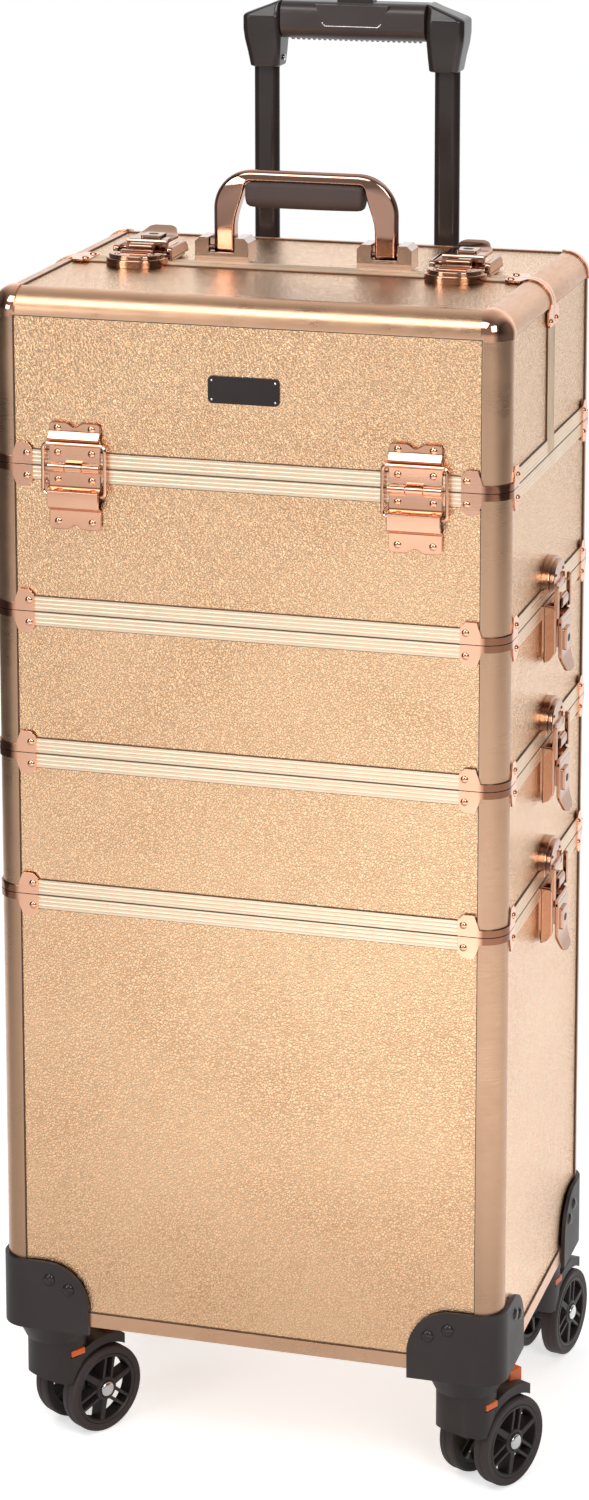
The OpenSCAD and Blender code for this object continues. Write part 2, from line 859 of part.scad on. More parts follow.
module rear_lid_fittings() {
  color(polish) for (side = [-1, 1]) {
    on_rear(side * hinge_x, s1) hinge_upper_leaf();
    on_top(side * top_latch_x) latch_base();
  }
}

// Carry handle

handle_z = top_z + handle_pivot_up;
bracket_plate_t = 2;
// Clearance beside a leg in its bracket, and the chamfer on a cheek
bracket_clear = 1.5;
bracket_chamfer = 3;
// Bar across the front of a bracket
bracket_bar_t = 3;
bracket_bar_h = 6;
handle_eye_r = handle_t / 2;

// One block with a slot for the handle's leg, a bar across its front and the pivot pin
module handle_brackets() {
  slot = handle_leg_w / 2 + bracket_clear;
  half = bracket_w / 2;
  depth = bracket_d / 2;
  color(polish) for (side = [-1, 1]) translate([side * handle_leg_x, handle_y, top_z]) {
    span([-half, -depth, 0], [half, depth, bracket_plate_t]);
    span([-half + pad_inset, rail_edge - handle_y, -panel_recess],
         [half - pad_inset, depth - pad_inset, 0]);
    for (cheek = [0, 1]) {
      mirror([cheek, 0, 0]) translate([0, depth, 0]) rotate([90, 0, 0]) linear_extrude(bracket_d)
        polygon([[slot, 0], [half, 0], [half, bracket_h - bracket_chamfer],
                 [half - bracket_chamfer, bracket_h], [slot, bracket_h]]);
    }
    span([-slot, -depth, 0], [slot, bracket_bar_t - depth, bracket_bar_h]);
    translate([-slot - bracket_chamfer, 0, handle_pivot_up]) rotate([0, 90, 0])
      cylinder(r = handle_pin_r, h = 2 * (slot + bracket_chamfer));
  }
}

// Outline of an arch of a width and height with rounded upper corners, its feet on y = 0
module arch_outline(width, height, r) {
  translate([-width / 2, 0]) square([width, height - r]);
  translate([-width / 2 + r, 0]) square([width - 2 * r, height]);
  intersection() {
    for (side = [-1, 1]) {
      translate([side * (width / 2 - r), height - r]) circle(r);
    }
    translate([-width / 2, height - r]) square([width, r]);
  }
}

module carry_handle() {
  inner_w = handle_w - 2 * handle_leg_w;
  color(polish) translate([0, handle_y, handle_z]) difference() {
    union() {
      translate([0, handle_t / 2, 0]) rotate([90, 0, 0]) linear_extrude(handle_t) difference() {
        arch_outline(handle_w, handle_rise, handle_r);
        translate([0, -cut])
          arch_outline(inner_w, handle_rise - handle_bar_t + cut, (inner_w - soft_grip_w) / 2);
      }
      for (side = [-1, 1]) {
        translate([side * handle_leg_x - handle_leg_w / 2, 0, 0]) rotate([0, 90, 0])
          cylinder(r = handle_eye_r, h = handle_leg_w);
      }
    }
    for (side = [-1, 1]) {
      translate([side * handle_leg_x - handle_leg_w / 2 - cut, 0, 0]) rotate([0, 90, 0])
        cylinder(r = handle_pin_r + pin_clear, h = handle_leg_w + 2 * cut);
    }
  }
}

soft_grip_r = 6;

module carry_handle_grip() {
  grip_z = handle_z + handle_rise - handle_bar_t - soft_grip_h;
  flat_w = soft_grip_w - 2 * soft_grip_r;
  color(black) translate([0, handle_y, grip_z]) intersection() {
    translate([0, soft_grip_t / 2, 0]) rotate([90, 0, 0]) linear_extrude(soft_grip_t) union() {
      translate([-soft_grip_w / 2, soft_grip_r]) square([soft_grip_w, soft_grip_h - soft_grip_r]);
      translate([-flat_w / 2, 0]) square([flat_w, soft_grip_h]);
      for (side = [-1, 1]) {
        translate([side * (soft_grip_w / 2 - soft_grip_r), soft_grip_r]) circle(soft_grip_r);
      }
    }
    translate([-soft_grip_w / 2, 0, 0]) rotate([90, 0, 90]) linear_extrude(soft_grip_w) union() {
      translate([-soft_grip_t / 2, soft_grip_t / 2]) square([soft_grip_t, soft_grip_h]);
      translate([0, soft_grip_t / 2]) circle(soft_grip_t / 2);
    }
  }
}

module front_hinge_rings() {
  color(polish) for (side = [-1, 1]) on_front(side * hinge_x, s1) hinge_ring();
}

module rear_hinge_rings() {
  color(polish) for (side = [-1, 1]) on_rear(side * hinge_x, s1) hinge_ring();
}

// Latch levers

module top_left_latch_lever() {
  color(polish) on_top(-top_latch_x) latch_lever();
}

module top_right_latch_lever() {
  color(polish) on_top(top_latch_x) latch_lever();
}

module base_left_latch_lever() {
  color(polish) on_side(-1, s4) latch_lever();
}

module base_right_latch_lever() {
  color(polish) on_side(1, s4) latch_lever();
}

module lower_tray_left_latch_lever() {
  color(polish) on_side(-1, s3) latch_lever();
}

module lower_tray_right_latch_lever() {
  color(polish) on_side(1, s3) latch_lever();
}

module upper_tray_left_latch_lever() {
  color(polish) on_side(-1, s2) latch_lever();
}

module upper_tray_right_latch_lever() {
  color(polish) on_side(1, s2) latch_lever();
}

// Trolley handle

tube_y = half_d + tube_out;
tube_step = 2 * (tube_wall + tube_clear);
outer_low = base_z + outer_start;
outer_high = outer_low + outer_len;
middle_high = outer_high + middle_out;
middle_low = outer_high - tube_overlap;
inner_low = middle_high - tube_overlap;
inner_high = grip_top - grip_h;
tube_pocket = 0.1;

// Section of a tube grown by some steps from the innermost one, with rounded ends
module tube_section(steps, grow = 0) {
  w = tube_w + steps * tube_step + 2 * grow;
  d = tube_d + steps * tube_step + 2 * grow;
  square([w - d, d], center = true);
  for (side = [-1, 1]) {
    translate([side * (w - d) / 2, 0]) circle(d / 2);
  }
}

module tubes(steps, low, high) {
  for (side = [-1, 1]) {
    translate([side * tube_x, tube_y, low]) linear_extrude(high - low) difference() {
      tube_section(steps);
      tube_section(steps, -tube_wall);
    }
  }
}

tie_h = 24;
tie_margin = 8;

module trolley_outer_tubes() {
  outer_w = tube_w + 2 * tube_step;
  tie_half = tube_x + outer_w / 2 + tie_margin;
  tie_back = tube_y + (tube_d + 2 * tube_step) / 2 - tube_wall;
  tie_low = half_d - panel_recess;
  color(black) {
    tubes(2, outer_low, outer_high);
    for (z = [outer_low, outer_high - tie_h]) {
      difference() {
        span([-tie_half, tie_low, z], [tie_half, tie_back, z + tie_h]);
        for (side = [-1, 1]) {
          translate([side * tube_x, tube_y, z - cut]) linear_extrude(tie_h + 2 * cut)
            tube_section(2, -tube_wall);
        }
        span([-tie_half - cut, tie_low - cut, outer_high - rail_h - half_gap - cut],
             [tie_half + cut, half_d + joint_gap, outer_high + rail_h + cut]);
      }
    }
  }
}

module trolley_middle_tubes() {
  color(black) tubes(1, middle_low, middle_high);
}

module trolley_inner_tubes() {
  color(black) tubes(0, inner_low, inner_high);
}

grip_r = 9;
cap_r = 7;

// Section of the grip across its length, with rounded edges, its top at y = 0
module grip_section(height, r) {
  translate([-grip_d / 2, -height + r]) square([grip_d, height - 2 * r]);
  translate([-grip_d / 2 + r, -height]) square([grip_d - 2 * r, height]);
  for (side = [-1, 1]) {
    for (z = [-r, -height + r]) {
      translate([side * (grip_d / 2 - r), z]) circle(r);
    }
  }
}

module trolley_grip() {
  color(black) difference() {
    translate([0, tube_y, grip_top]) {
      translate([-grip_w / 2, 0, 0]) rotate([90, 0, 90]) linear_extrude(grip_w)
        grip_section(grip_h, grip_r);
      for (side = [-1, 1]) {
        translate([side > 0 ? grip_w / 2 - cap_w : -grip_w / 2, 0, 0]) rotate([90, 0, 90])
          linear_extrude(cap_w) grip_section(cap_h, cap_r);
      }
    }
    for (side = [-1, 1]) {
      translate([side * tube_x, tube_y, grip_top - cap_h - cut]) linear_extrude(cap_h - grip_h + cut)
        tube_section(0, tube_pocket);
    }
    button_pocket();
  }
}

// Depth of the button's pocket below the button's lowest place
button_floor = 1;

module button_pocket() {
  pocket_x = button_w / 2 + button_clear;
  pocket_y = button_d / 2 + button_clear;
  span([-pocket_x, tube_y - pocket_y, grip_top - button_h - button_floor],
       [pocket_x, tube_y + pocket_y, grip_top + cut]);
}

module trolley_button() {
  color(black) span([-button_w / 2, tube_y - button_d / 2, grip_top + button_up - button_h],
                    [button_w / 2, tube_y + button_d / 2, grip_top + button_up]);
}

// Casters: the swivel axis at the origin, X towards the trailing axle, Y along the axle, floor at z = 0

wheel_r = wheel_d / 2;
swivel_gap = 0.3;
caster_top = foot_h - neck_down - swivel_gap;
fender_r = wheel_r + wheel_clear + fender_t;
// Lower edge of the fender and of the housing's web, above the axle
fender_up = 21;
web_up = 10;
// Lower edge of the skirt above the axle, at its tips beside the wheels and at its front
skirt_tip_ahead = 8;
skirt_tip_up = 13;
skirt_front_up = 18;
boss_r = 9;
boss_drop = 8;
stem_seat = 3.5;
stem_low = caster_top - stem_seat;
stem_short = 1;
stem_end = foot_h - stem_short;

// Brake: a bar across the housing's neck, two windows' blocks on it, an arm, a shoe and a pedal
pivot_t = 2;
pivot_up = 4;
pivot_z = wheel_d + pivot_up;
brake_bar_r = 2.2;
brake_bar_short = 1;
arm_half = 3.6;
arm_down = 2;
arm_up = 1.5;
arm_low = pivot_z - arm_down;
arm_high = pivot_z + arm_up;
arm_lap = 4;
arm_slot = 0.7;
slot_down = 5;
slot_low = wheel_d - slot_down;
slot_back = 4;
shoe_gap = 2;
shoe_t = 2.8;
shoe_low = wheel_d + shoe_gap;
shoe_high = shoe_low + shoe_t;
shoe_start = 28.5;
shoe_end = 33.5;
shoe_half = 15.5;
shoe_clear = 1.2;
shoe_drop = 4;
pedal_start = 32;
pedal_gap = 2.4;
pedal_low = wheel_d + pedal_gap;
pedal_drop = 4;
pedal_up = 13.5;
pedal_past = 0.5;
pedal_back = 1;
window_y = 18.6;
window_block = 1.6;
window_t = 5.5;
window_h = 2;
window_clear = 0.8;
window_out = 3;

module caster(turn, x, y) {
  translate([x, y, 0]) rotate([0, 0, turn]) children();
}

// Cylinder along Y through a point of the caster's section
module across(half, t, z, r) {
  translate([t, half, z]) rotate([90, 0, 0]) cylinder(r = r, h = 2 * half);
}

// Neck with a skirt in front of the wheels, and the fender's arch, hollowed over both wheels
module caster_shell() {
  skirt_low = wheel_r + skirt_tip_up;
  skirt_edge = caster_neck_r + cut;
  difference() {
    union() {
      translate([0, 0, skirt_low]) cylinder(r = caster_neck_r, h = caster_top - skirt_low);
      intersection() {
        across(fender_half, trail, wheel_r, fender_r);
        span([0, -fender_half, wheel_r + fender_up], [fender_len, fender_half, caster_top]);
      }
    }
    translate([0, skirt_edge, 0]) rotate([90, 0, 0]) linear_extrude(2 * skirt_edge)
      polygon([[-skirt_tip_ahead, skirt_low - cut], [-skirt_tip_ahead, skirt_low],
               [-caster_neck_r, wheel_r + skirt_front_up], [-skirt_edge, wheel_r + skirt_front_up],
               [-skirt_edge, skirt_low - cut]]);
    for (side = [-1, 1]) {
      translate([trail, side * (web_half + fender_half / 2 + cut), wheel_r]) rotate([90, 0, 0])
        cylinder(r = wheel_r + wheel_clear, h = fender_half + 2 * cut, center = true);
    }
  }
}

// Room for the brake: bar, arm, pedal, shoe and windows
module brake_room() {
  slot = arm_half + arm_slot;
  pedal_slot = pedal_w / 2 + arm_slot;
  end = fender_len + cut;
  across(caster_neck_r + cut, pivot_t, pivot_z, brake_bar_r + pin_clear);
  span([pivot_t - slot_back, -slot, slot_low], [end, slot, stem_low]);
  span([caster_neck_r, -slot, slot_low], [end, slot, caster_top]);
  span([pedal_start - pedal_back, -pedal_slot, pedal_low - pedal_drop], [end, pedal_slot, caster_top]);
  span([shoe_start - shoe_clear, -shoe_half - shoe_clear, shoe_low - shoe_drop],
       [shoe_end + shoe_clear, shoe_half + shoe_clear, shoe_high + joint_gap]);
  for (side = [-1, 1]) {
    mirror([0, side > 0 ? 0 : 1, 0])
      span([pivot_t - window_t - window_clear, window_y - window_block - window_clear,
            pivot_z - window_h - window_clear],
           [pivot_t + window_t + window_clear, window_y + window_out,
            pivot_z + window_h + window_clear]);
  }
}

module caster_housing() {
  color(black) difference() {
    union() {
      caster_shell();
      span([-web_half, -web_half, wheel_r + web_up], [trail, web_half, wheel_d]);
      across(web_half, trail, wheel_r, boss_r);
      span([trail - boss_r, -web_half, wheel_r], [trail + boss_r, web_half, wheel_d - boss_drop]);
    }
    across(web_half + cut, trail, wheel_r, axle_r + pin_clear);
    translate([0, 0, stem_low]) cylinder(r = stem_r + pin_clear, h = caster_top);
    brake_room();
  }
}

cap_out = 1;
axle_cap_r = 5.2;
axle_cap_t = 1.4;

module caster_axle() {
  axle_half = wheel_in + wheel_w + cap_out;
  color(steel) {
    across(axle_half, trail, wheel_r, axle_r);
    for (side = [-1, 1]) {
      translate([trail, side * axle_half, wheel_r]) rotate([90, 0, 0])
        cylinder(r = axle_cap_r, h = axle_cap_t, center = true);
    }
    translate([0, 0, stem_low]) cylinder(r = stem_r, h = stem_end - stem_low);
  }
}

spoke_count = 3;
rim_t = 8.2;
hub_r = 8.6;
hub_step = 0.5;
thick_spoke = 4.4;
thick_spoke_in = 1;
thin_spoke = 2;
thin_spoke_in = 1.5;
thin_spoke_y = 3.4;
spoke_lap = 1;

// One spoked wheel about the Y axis, from y = 0 outwards
module wheel() {
  rim_in = wheel_r - rim_t;
  spoke_r = rim_in + spoke_lap;
  rotate([-90, 0, 0]) difference() {
    union() {
      difference() {
        cylinder(r = wheel_r, h = wheel_w);
        translate([0, 0, -cut]) cylinder(r = rim_in, h = wheel_w + 2 * cut);
      }
      cylinder(r = hub_r, h = wheel_w - hub_step);
      for (i = [0 : spoke_count - 1]) {
        rotate([0, 0, i * 360 / spoke_count])
          span([0, -thick_spoke / 2, thick_spoke_in], [spoke_r, thick_spoke / 2, wheel_w - thick_spoke_in]);
        for (side = [-1, 1]) {
          rotate([0, 0, (i + 0.5) * 360 / spoke_count]) translate([0, side * thin_spoke_y, 0])
            span([0, -thin_spoke / 2, thin_spoke_in], [spoke_r, thin_spoke / 2, wheel_w - thin_spoke_in]);
        }
      }
    }
    translate([0, 0, -cut]) cylinder(r = axle_r + pin_clear, h = wheel_w + 2 * cut);
  }
}

module caster_wheels() {
  color(black) translate([trail, 0, wheel_r]) {
    translate([0, wheel_in, 0]) wheel();
    mirror([0, 1, 0]) translate([0, wheel_in, 0]) wheel();
  }
}

module caster_brake() {
  color(orange) {
    across(caster_neck_r - brake_bar_short, pivot_t, pivot_z, brake_bar_r);
    for (side = [-1, 1]) {
      span([pivot_t - window_t, side * window_y - window_block, pivot_z - window_h],
           [pivot_t + window_t, side * window_y + window_block, pivot_z + window_h]);
    }
    span([pivot_t, -arm_half, arm_low], [pedal_start + arm_lap, arm_half, arm_high]);
    span([shoe_start, -shoe_half, shoe_low], [shoe_end, shoe_half, shoe_high]);
    span([shoe_start, -arm_half, shoe_low], [shoe_end, arm_half, pivot_z]);
    span([pedal_start, -pedal_w / 2, pedal_low],
         [fender_len + pedal_past, pedal_w / 2, wheel_d + pedal_up]);
  }
}

stem_x = half_w - stem_inset;
stem_y = half_d - stem_inset;

module front_left_caster_housing() { caster(turn_fl, -stem_x, -stem_y) caster_housing(); }
module front_left_caster_axle() { caster(turn_fl, -stem_x, -stem_y) caster_axle(); }
module front_left_wheels() { caster(turn_fl, -stem_x, -stem_y) caster_wheels(); }
module front_left_brake() { caster(turn_fl, -stem_x, -stem_y) caster_brake(); }
module front_right_caster_housing() { caster(turn_fr, stem_x, -stem_y) caster_housing(); }
module front_right_caster_axle() { caster(turn_fr, stem_x, -stem_y) caster_axle(); }
module front_right_wheels() { caster(turn_fr, stem_x, -stem_y) caster_wheels(); }
module front_right_brake() { caster(turn_fr, stem_x, -stem_y) caster_brake(); }
module rear_right_caster_housing() { caster(turn_rr, stem_x, stem_y) caster_housing(); }
module rear_right_caster_axle() { caster(turn_rr, stem_x, stem_y) caster_axle(); }
module rear_right_wheels() { caster(turn_rr, stem_x, stem_y) caster_wheels(); }
module rear_right_brake() { caster(turn_rr, stem_x, stem_y) caster_brake(); }
module rear_left_caster_housing() { caster(turn_rl, -stem_x, stem_y) caster_housing(); }
module rear_left_caster_axle() { caster(turn_rl, -stem_x, stem_y) caster_axle(); }
module rear_left_wheels() { caster(turn_rl, -stem_x, stem_y) caster_wheels(); }
module rear_left_brake() { caster(turn_rl, -stem_x, stem_y) caster_brake(); }

base_panels();
base_frame();
base_corner_clips();
base_corner_guards();
base_latch_bases();
trolley_outer_tubes();
lower_tray_panels();
lower_tray_frame();
lower_tray_corner_clips();
lower_tray_latch_plates();
upper_tray_panels();
upper_tray_frame();
upper_tray_corner_clips();
upper_tray_latch_plates();
top_case_panels();
top_case_frame();
top_case_corner_clips();
top_case_fittings();
front_lid_panels();
front_lid_frame();
front_lid_corners();
front_lid_fittings();
name_plate();
rear_lid_panels();
rear_lid_frame();
rear_lid_corners();
rear_lid_fittings();
handle_brackets();
front_hinge_rings();
rear_hinge_rings();
carry_handle();
carry_handle_grip();
top_left_latch_lever();
top_right_latch_lever();
base_left_latch_lever();
base_right_latch_lever();
lower_tray_left_latch_lever();
lower_tray_right_latch_lever();
upper_tray_left_latch_lever();
upper_tray_right_latch_lever();
trolley_middle_tubes();
trolley_inner_tubes();
trolley_grip();
trolley_button();
front_left_caster_housing();
front_left_caster_axle();
front_left_wheels();
front_left_brake();
front_right_caster_housing();
front_right_caster_axle();
front_right_wheels();
front_right_brake();
rear_right_caster_housing();
rear_right_caster_axle();
rear_right_wheels();
rear_right_brake();
rear_left_caster_housing();
rear_left_caster_axle();
rear_left_wheels();
rear_left_brake();
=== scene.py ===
"""Looks of a rolling makeup case: three boxes, a top case and a split lid on casters, with a trolley handle.

Every piece is made in metres in the part's own frame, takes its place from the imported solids
and rides on one of the part's bodies."""
import json
import math

import bmesh
import bpy
from bpy.props import FloatProperty, FloatVectorProperty, PointerProperty
from mathutils import Matrix, Vector


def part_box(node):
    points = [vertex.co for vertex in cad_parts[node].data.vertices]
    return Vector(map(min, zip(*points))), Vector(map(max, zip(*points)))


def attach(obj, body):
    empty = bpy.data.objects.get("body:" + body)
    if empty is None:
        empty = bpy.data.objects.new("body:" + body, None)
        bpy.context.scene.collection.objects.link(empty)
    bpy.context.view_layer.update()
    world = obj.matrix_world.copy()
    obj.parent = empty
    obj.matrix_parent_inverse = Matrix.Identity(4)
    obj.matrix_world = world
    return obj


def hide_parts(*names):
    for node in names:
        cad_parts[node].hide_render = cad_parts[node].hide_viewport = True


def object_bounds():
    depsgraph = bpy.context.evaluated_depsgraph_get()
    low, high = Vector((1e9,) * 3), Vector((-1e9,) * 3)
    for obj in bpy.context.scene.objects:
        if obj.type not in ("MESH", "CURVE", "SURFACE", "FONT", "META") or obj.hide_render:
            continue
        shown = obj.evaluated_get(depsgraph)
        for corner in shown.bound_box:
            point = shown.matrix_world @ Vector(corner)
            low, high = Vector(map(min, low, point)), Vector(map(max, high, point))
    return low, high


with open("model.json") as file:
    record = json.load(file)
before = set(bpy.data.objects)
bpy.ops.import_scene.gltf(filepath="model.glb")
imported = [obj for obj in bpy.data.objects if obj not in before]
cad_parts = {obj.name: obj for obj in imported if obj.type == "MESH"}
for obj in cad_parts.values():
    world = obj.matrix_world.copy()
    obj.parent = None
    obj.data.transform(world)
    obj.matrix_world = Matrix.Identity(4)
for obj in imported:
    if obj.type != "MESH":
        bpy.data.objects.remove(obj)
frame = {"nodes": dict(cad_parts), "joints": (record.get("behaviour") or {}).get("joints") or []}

bl_info = {
    "name": "Rolling Makeup Case",
    "version": (1, 0, 0),
    "blender": (4, 5, 0),
    "location": "3D View > Sidebar > Makeup Case",
    "description": "Dresses the packed rolling makeup case with its visible pieces and finishes",
    "category": "Object",
}

MM = 0.001
CAD_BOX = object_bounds()
JOINTS = {joint["name"]: joint for joint in frame["joints"]}
X, Y, Z = Vector((1, 0, 0)), Vector((0, 1, 0)), Vector((0, 0, 1))

LEVELS = ("base", "lower_tray", "upper_tray", "top_case")
LIDS = ("front_lid", "rear_lid")
PLACES = ("front_left", "front_right", "rear_right", "rear_left")

# Planes and seams of the case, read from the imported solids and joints. A latch turns a little under its seam.
HALF_W, HALF_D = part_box("base_frame")[1].xy
BASE_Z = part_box("base_frame")[0].z
TOP_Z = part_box("front_lid_frame")[1].z
SEAM_LID = JOINTS["front_lid_hinge"]["pos_m"][2]
LATCH_DROP = 12 * MM
SEAMS = [JOINTS[f"{level}_left_latch"]["pos_m"][2] + LATCH_DROP for level in LEVELS[:3]]
# Widths of the posts and rounded edges, and of the rails along the seams.
FLANGE, RAIL = 16.7 * MM, 9.8 * MM


# Settings

def length_setting(name, description, default):
    return FloatProperty(name=name, description=description, default=default, unit="LENGTH")


def colour_setting(name, description, default):
    return FloatVectorProperty(name=name, description=description, default=default, subtype="COLOR")


class CaseSizes(bpy.types.PropertyGroup):
    """Sizes of the small forms that the dressed case adds to the solids"""

    edge: length_setting("Edge", "Rounding of bent and cast metal edges", 0.35 * MM)
    rivet: length_setting("Rivet", "Radius of a rivet's domed head", 2.5 * MM)
    rivet_rise: length_setting("Rivet rise", "Height of a rivet's head", 1.5 * MM)
    rib: length_setting("Rib", "Radius of the ribs along the rails", 0.9 * MM)


class CaseColours(bpy.types.PropertyGroup):
    """Base colours of the finishes"""

    skin: colour_setting("Skin", "Crinkled panel skin", (0.96, 0.64, 0.395))
    # Painted shade: the folds of the skin take this darker colour in place of the shade that falls in them.
    shaded_crease: colour_setting("Creases", "Creases of the panel skin", (0.58, 0.33, 0.18))
    lining: colour_setting("Lining", "Lining of the panels inside", (0.018, 0.017, 0.018))
    # Painted shade: the darker frame and edge colours stand in for the dimmer reflections on the posts and on
    # the rounded edges.
    satin: colour_setting("Frame", "Satin frame metal", (0.50, 0.30, 0.187))
    edge: colour_setting("Edges", "Rounded edges of the lids and the lowest rail", (0.72, 0.42, 0.255))
    rail: colour_setting("Rails", "Paler metal of the ribs along the rails", (0.98, 0.75, 0.54))
    # Painted shade: this dark colour fills the shadowed gaps round the panels and along the seams.
    joint: colour_setting("Joints", "Dark beads round the panels", (0.085, 0.042, 0.022))
    polish: colour_setting("Fittings", "Polished hinges, latches and clips", (0.86, 0.47, 0.31))
    # Painted shade: the clips take this dark colour where they bend round the posts, in place of the dark
    # reflections there.
    bend: colour_setting("Clip bends", "Clips where they bend round the posts", (0.22, 0.085, 0.042))
    # Painted shade: the handle is a darker copy of the rose polish, and the brackets' own silvery metal is
    # darkened too, in place of the dark reflections in them.
    handle: colour_setting("Carry handle", "Bright polished handle", (0.58, 0.33, 0.245))
    bracket: colour_setting("Brackets", "Silvery brackets of the carry handle", (0.56, 0.45, 0.41))
    black: colour_setting("Mouldings", "Moulded black plastic", (0.022, 0.0150, 0.0140))
    orange: colour_setting("Brakes", "Brake pedals", (0.76, 0.15, 0.03))
    steel: colour_setting("Steel", "Axles and wheel caps", (0.70, 0.70, 0.71))


def sizes():
    return bpy.context.scene.case_sizes


def colours():
    return bpy.context.scene.case_colours


# Finishes

class Nodes:
    """Short ways to add and join the nodes of one tree."""

    def __init__(self, tree):
        self.tree = tree

    def node(self, kind, inputs=None, **settings):
        """New node with its settings, and with inputs joined to other nodes or set to values."""
        made = self.tree.nodes.new(kind)
        for key, value in settings.items():
            setattr(made, key, value)
        for key, value in (inputs or {}).items():
            self.feed(value, made.inputs[key])
        return made

    def link(self, source, target):
        self.tree.links.new(source, target)

    def feed(self, value, target):
        if hasattr(value, "is_output"):
            self.link(value, target)
        else:
            target.default_value = value

    def span(self, value, low, high, to_low=0.0, to_high=1.0):
        """Value mapped from one range to another, held at the ends."""
        ranges = {"Value": value, "From Min": low, "From Max": high, "To Min": to_low, "To Max": to_high}
        return self.node("ShaderNodeMapRange", ranges).outputs["Result"]

    def math(self, operation, *values):
        return self.node("ShaderNodeMath", dict(enumerate(values)), operation=operation).outputs[0]


class Finish(Nodes):
    """A procedural material read in object coordinates."""

    def __init__(self, metallic=0.0, specular=0.5):
        self.mat = bpy.data.materials.new("look")
        self.mat.use_nodes = True
        super().__init__(self.mat.node_tree)
        self.shader = self.tree.nodes["Principled BSDF"]
        self.shader.inputs["Metallic"].default_value = metallic
        self.shader.inputs["Specular IOR Level"].default_value = specular
        self.where = self.node("ShaderNodeTexCoord").outputs["Object"]

    def axes(self):
        """Object coordinates x, y and z, each by itself."""
        return self.node("ShaderNodeSeparateXYZ", {0: self.where}).outputs

    def stretch(self, scale):
        """Object coordinates scaled by axis."""
        return self.node("ShaderNodeMapping", {"Vector": self.where, "Scale": scale}).outputs["Vector"]

    def noise(self, scale, detail=3.0, rough=0.55, where=None, warp=0.0):
        values = {"Vector": where or self.where, "Scale": scale, "Detail": detail, "Roughness": rough,
                  "Distortion": warp}
        return self.node("ShaderNodeTexNoise", values).outputs["Fac"]

    def cells(self, scale, where):
        """Distance from the borders of a net of cells."""
        values = {"Vector": where, "Scale": scale}
        return self.node("ShaderNodeTexVoronoi", values, feature="DISTANCE_TO_EDGE").outputs["Distance"]

    def blend(self, share, low, high):
        """Colour between two, by a share."""
        low, high = (value if hasattr(value, "is_output") else (*value, 1.0) for value in (low, high))
        return self.node("ShaderNodeMix", {0: share, 6: low, 7: high}, data_type="RGBA").outputs[2]

    def wear(self):
        """One on worn edges, nought on flats."""
        return self.span(self.node("ShaderNodeNewGeometry").outputs["Pointiness"], 0.52, 0.62)

    def bump(self, height, distance, strength):
        made = self.node("ShaderNodeBump", {"Strength": strength, "Distance": distance, "Height": height})
        self.link(made.outputs["Normal"], self.shader.inputs["Normal"])

    def done(self, colour, rough):
        self.feed(colour, self.shader.inputs["Base Color"])
        self.feed(rough, self.shader.inputs["Roughness"])
        return self.mat


def tone(colour, by):
    return tuple(channel * by for channel in colour)


# Depths under the outer faces where the skin gives way to the lining.
WALL_SKIN, FLOOR_SKIN = 3.7 * MM, 3.0 * MM


def crinkle_skin():
    """Metallic leatherette with a fine crinkled grain outside, darker in the folds of its grain by painted
    shade, and a dark lining inside.
    """
    c = colours()
    f = Finish()
    drift = f.node("ShaderNodeTexNoise", {"Vector": f.where, "Scale": 420.0}).outputs["Color"]
    bent = f.node("ShaderNodeVectorMath", {0: drift, 1: (0.003, 0.003, 0.003), 2: f.where},
                  operation="MULTIPLY_ADD")
    shaded_crease = f.span(f.cells(560.0, bent.outputs[0]), 0.0, 0.20)
    fold = f.noise(760.0, 2.0, 0.5, warp=1.0)
    height = f.math("ADD", f.math("MULTIPLY", shaded_crease, 0.6), f.math("MULTIPLY", fold, 1.2))
    axes = f.axes()
    inside = f.math("LESS_THAN", axes["Z"], TOP_Z - WALL_SKIN)
    inside = f.math("MULTIPLY", inside, f.math("GREATER_THAN", axes["Z"], BASE_Z + FLOOR_SKIN))
    for axis, limit in (("X", HALF_W), ("Y", HALF_D)):
        within = f.math("LESS_THAN", f.math("ABSOLUTE", axes[axis]), limit - WALL_SKIN)
        inside = f.math("MULTIPLY", inside, within)
    # Painted shade darkens the folds of the grain.
    outer = f.blend(shaded_crease, c.shaded_crease, tone(c.skin, 1.04))
    outer = f.blend(f.span(f.noise(9.0, 2.0), 0.35, 0.65, 0.0, 0.5), outer, tone(c.skin, 0.94))
    f.link(f.math("SUBTRACT", 1.0, inside), f.shader.inputs["Metallic"])
    rough = f.math("ADD", f.span(f.noise(60.0), 0.3, 0.7, 0.18, 0.26), f.math("MULTIPLY", inside, 0.5))
    f.bump(height, 0.3 * MM, 0.42)
    return f.done(f.blend(inside, outer, c.lining), rough)


def at_posts(f, axes, reach, fade=0.1 * MM):
    """One near the four upright corners of the case, nought elsewhere, with a fade between."""
    near = [f.span(f.math("ABSOLUTE", axes[axis]), limit - reach, limit - reach + fade)
            for axis, limit in (("X", HALF_W), ("Y", HALF_D))]
    return f.math("MULTIPLY", *near)


def frame_metal_painted_shade():
    """Satin metal, palest on the rails at the seams, darker on rounded edges and darkest on the posts by
    painted shade.
    """
    c = colours()
    f = Finish(metallic=1.0)
    axes = f.axes()
    # Painted shade: rounded edges and posts take darker copies of the satin metal.
    shaded_rounds = f.math("MAXIMUM", f.math("GREATER_THAN", axes["Z"], TOP_Z - FLANGE),
                    f.math("LESS_THAN", axes["Z"], BASE_Z + RAIL))
    seams = f.blend(at_posts(f, axes, FLANGE), tone(c.rail, 0.92), c.satin)
    return metal(f.blend(shaded_rounds, seams, c.edge), 0.30, 0.12, f=f)


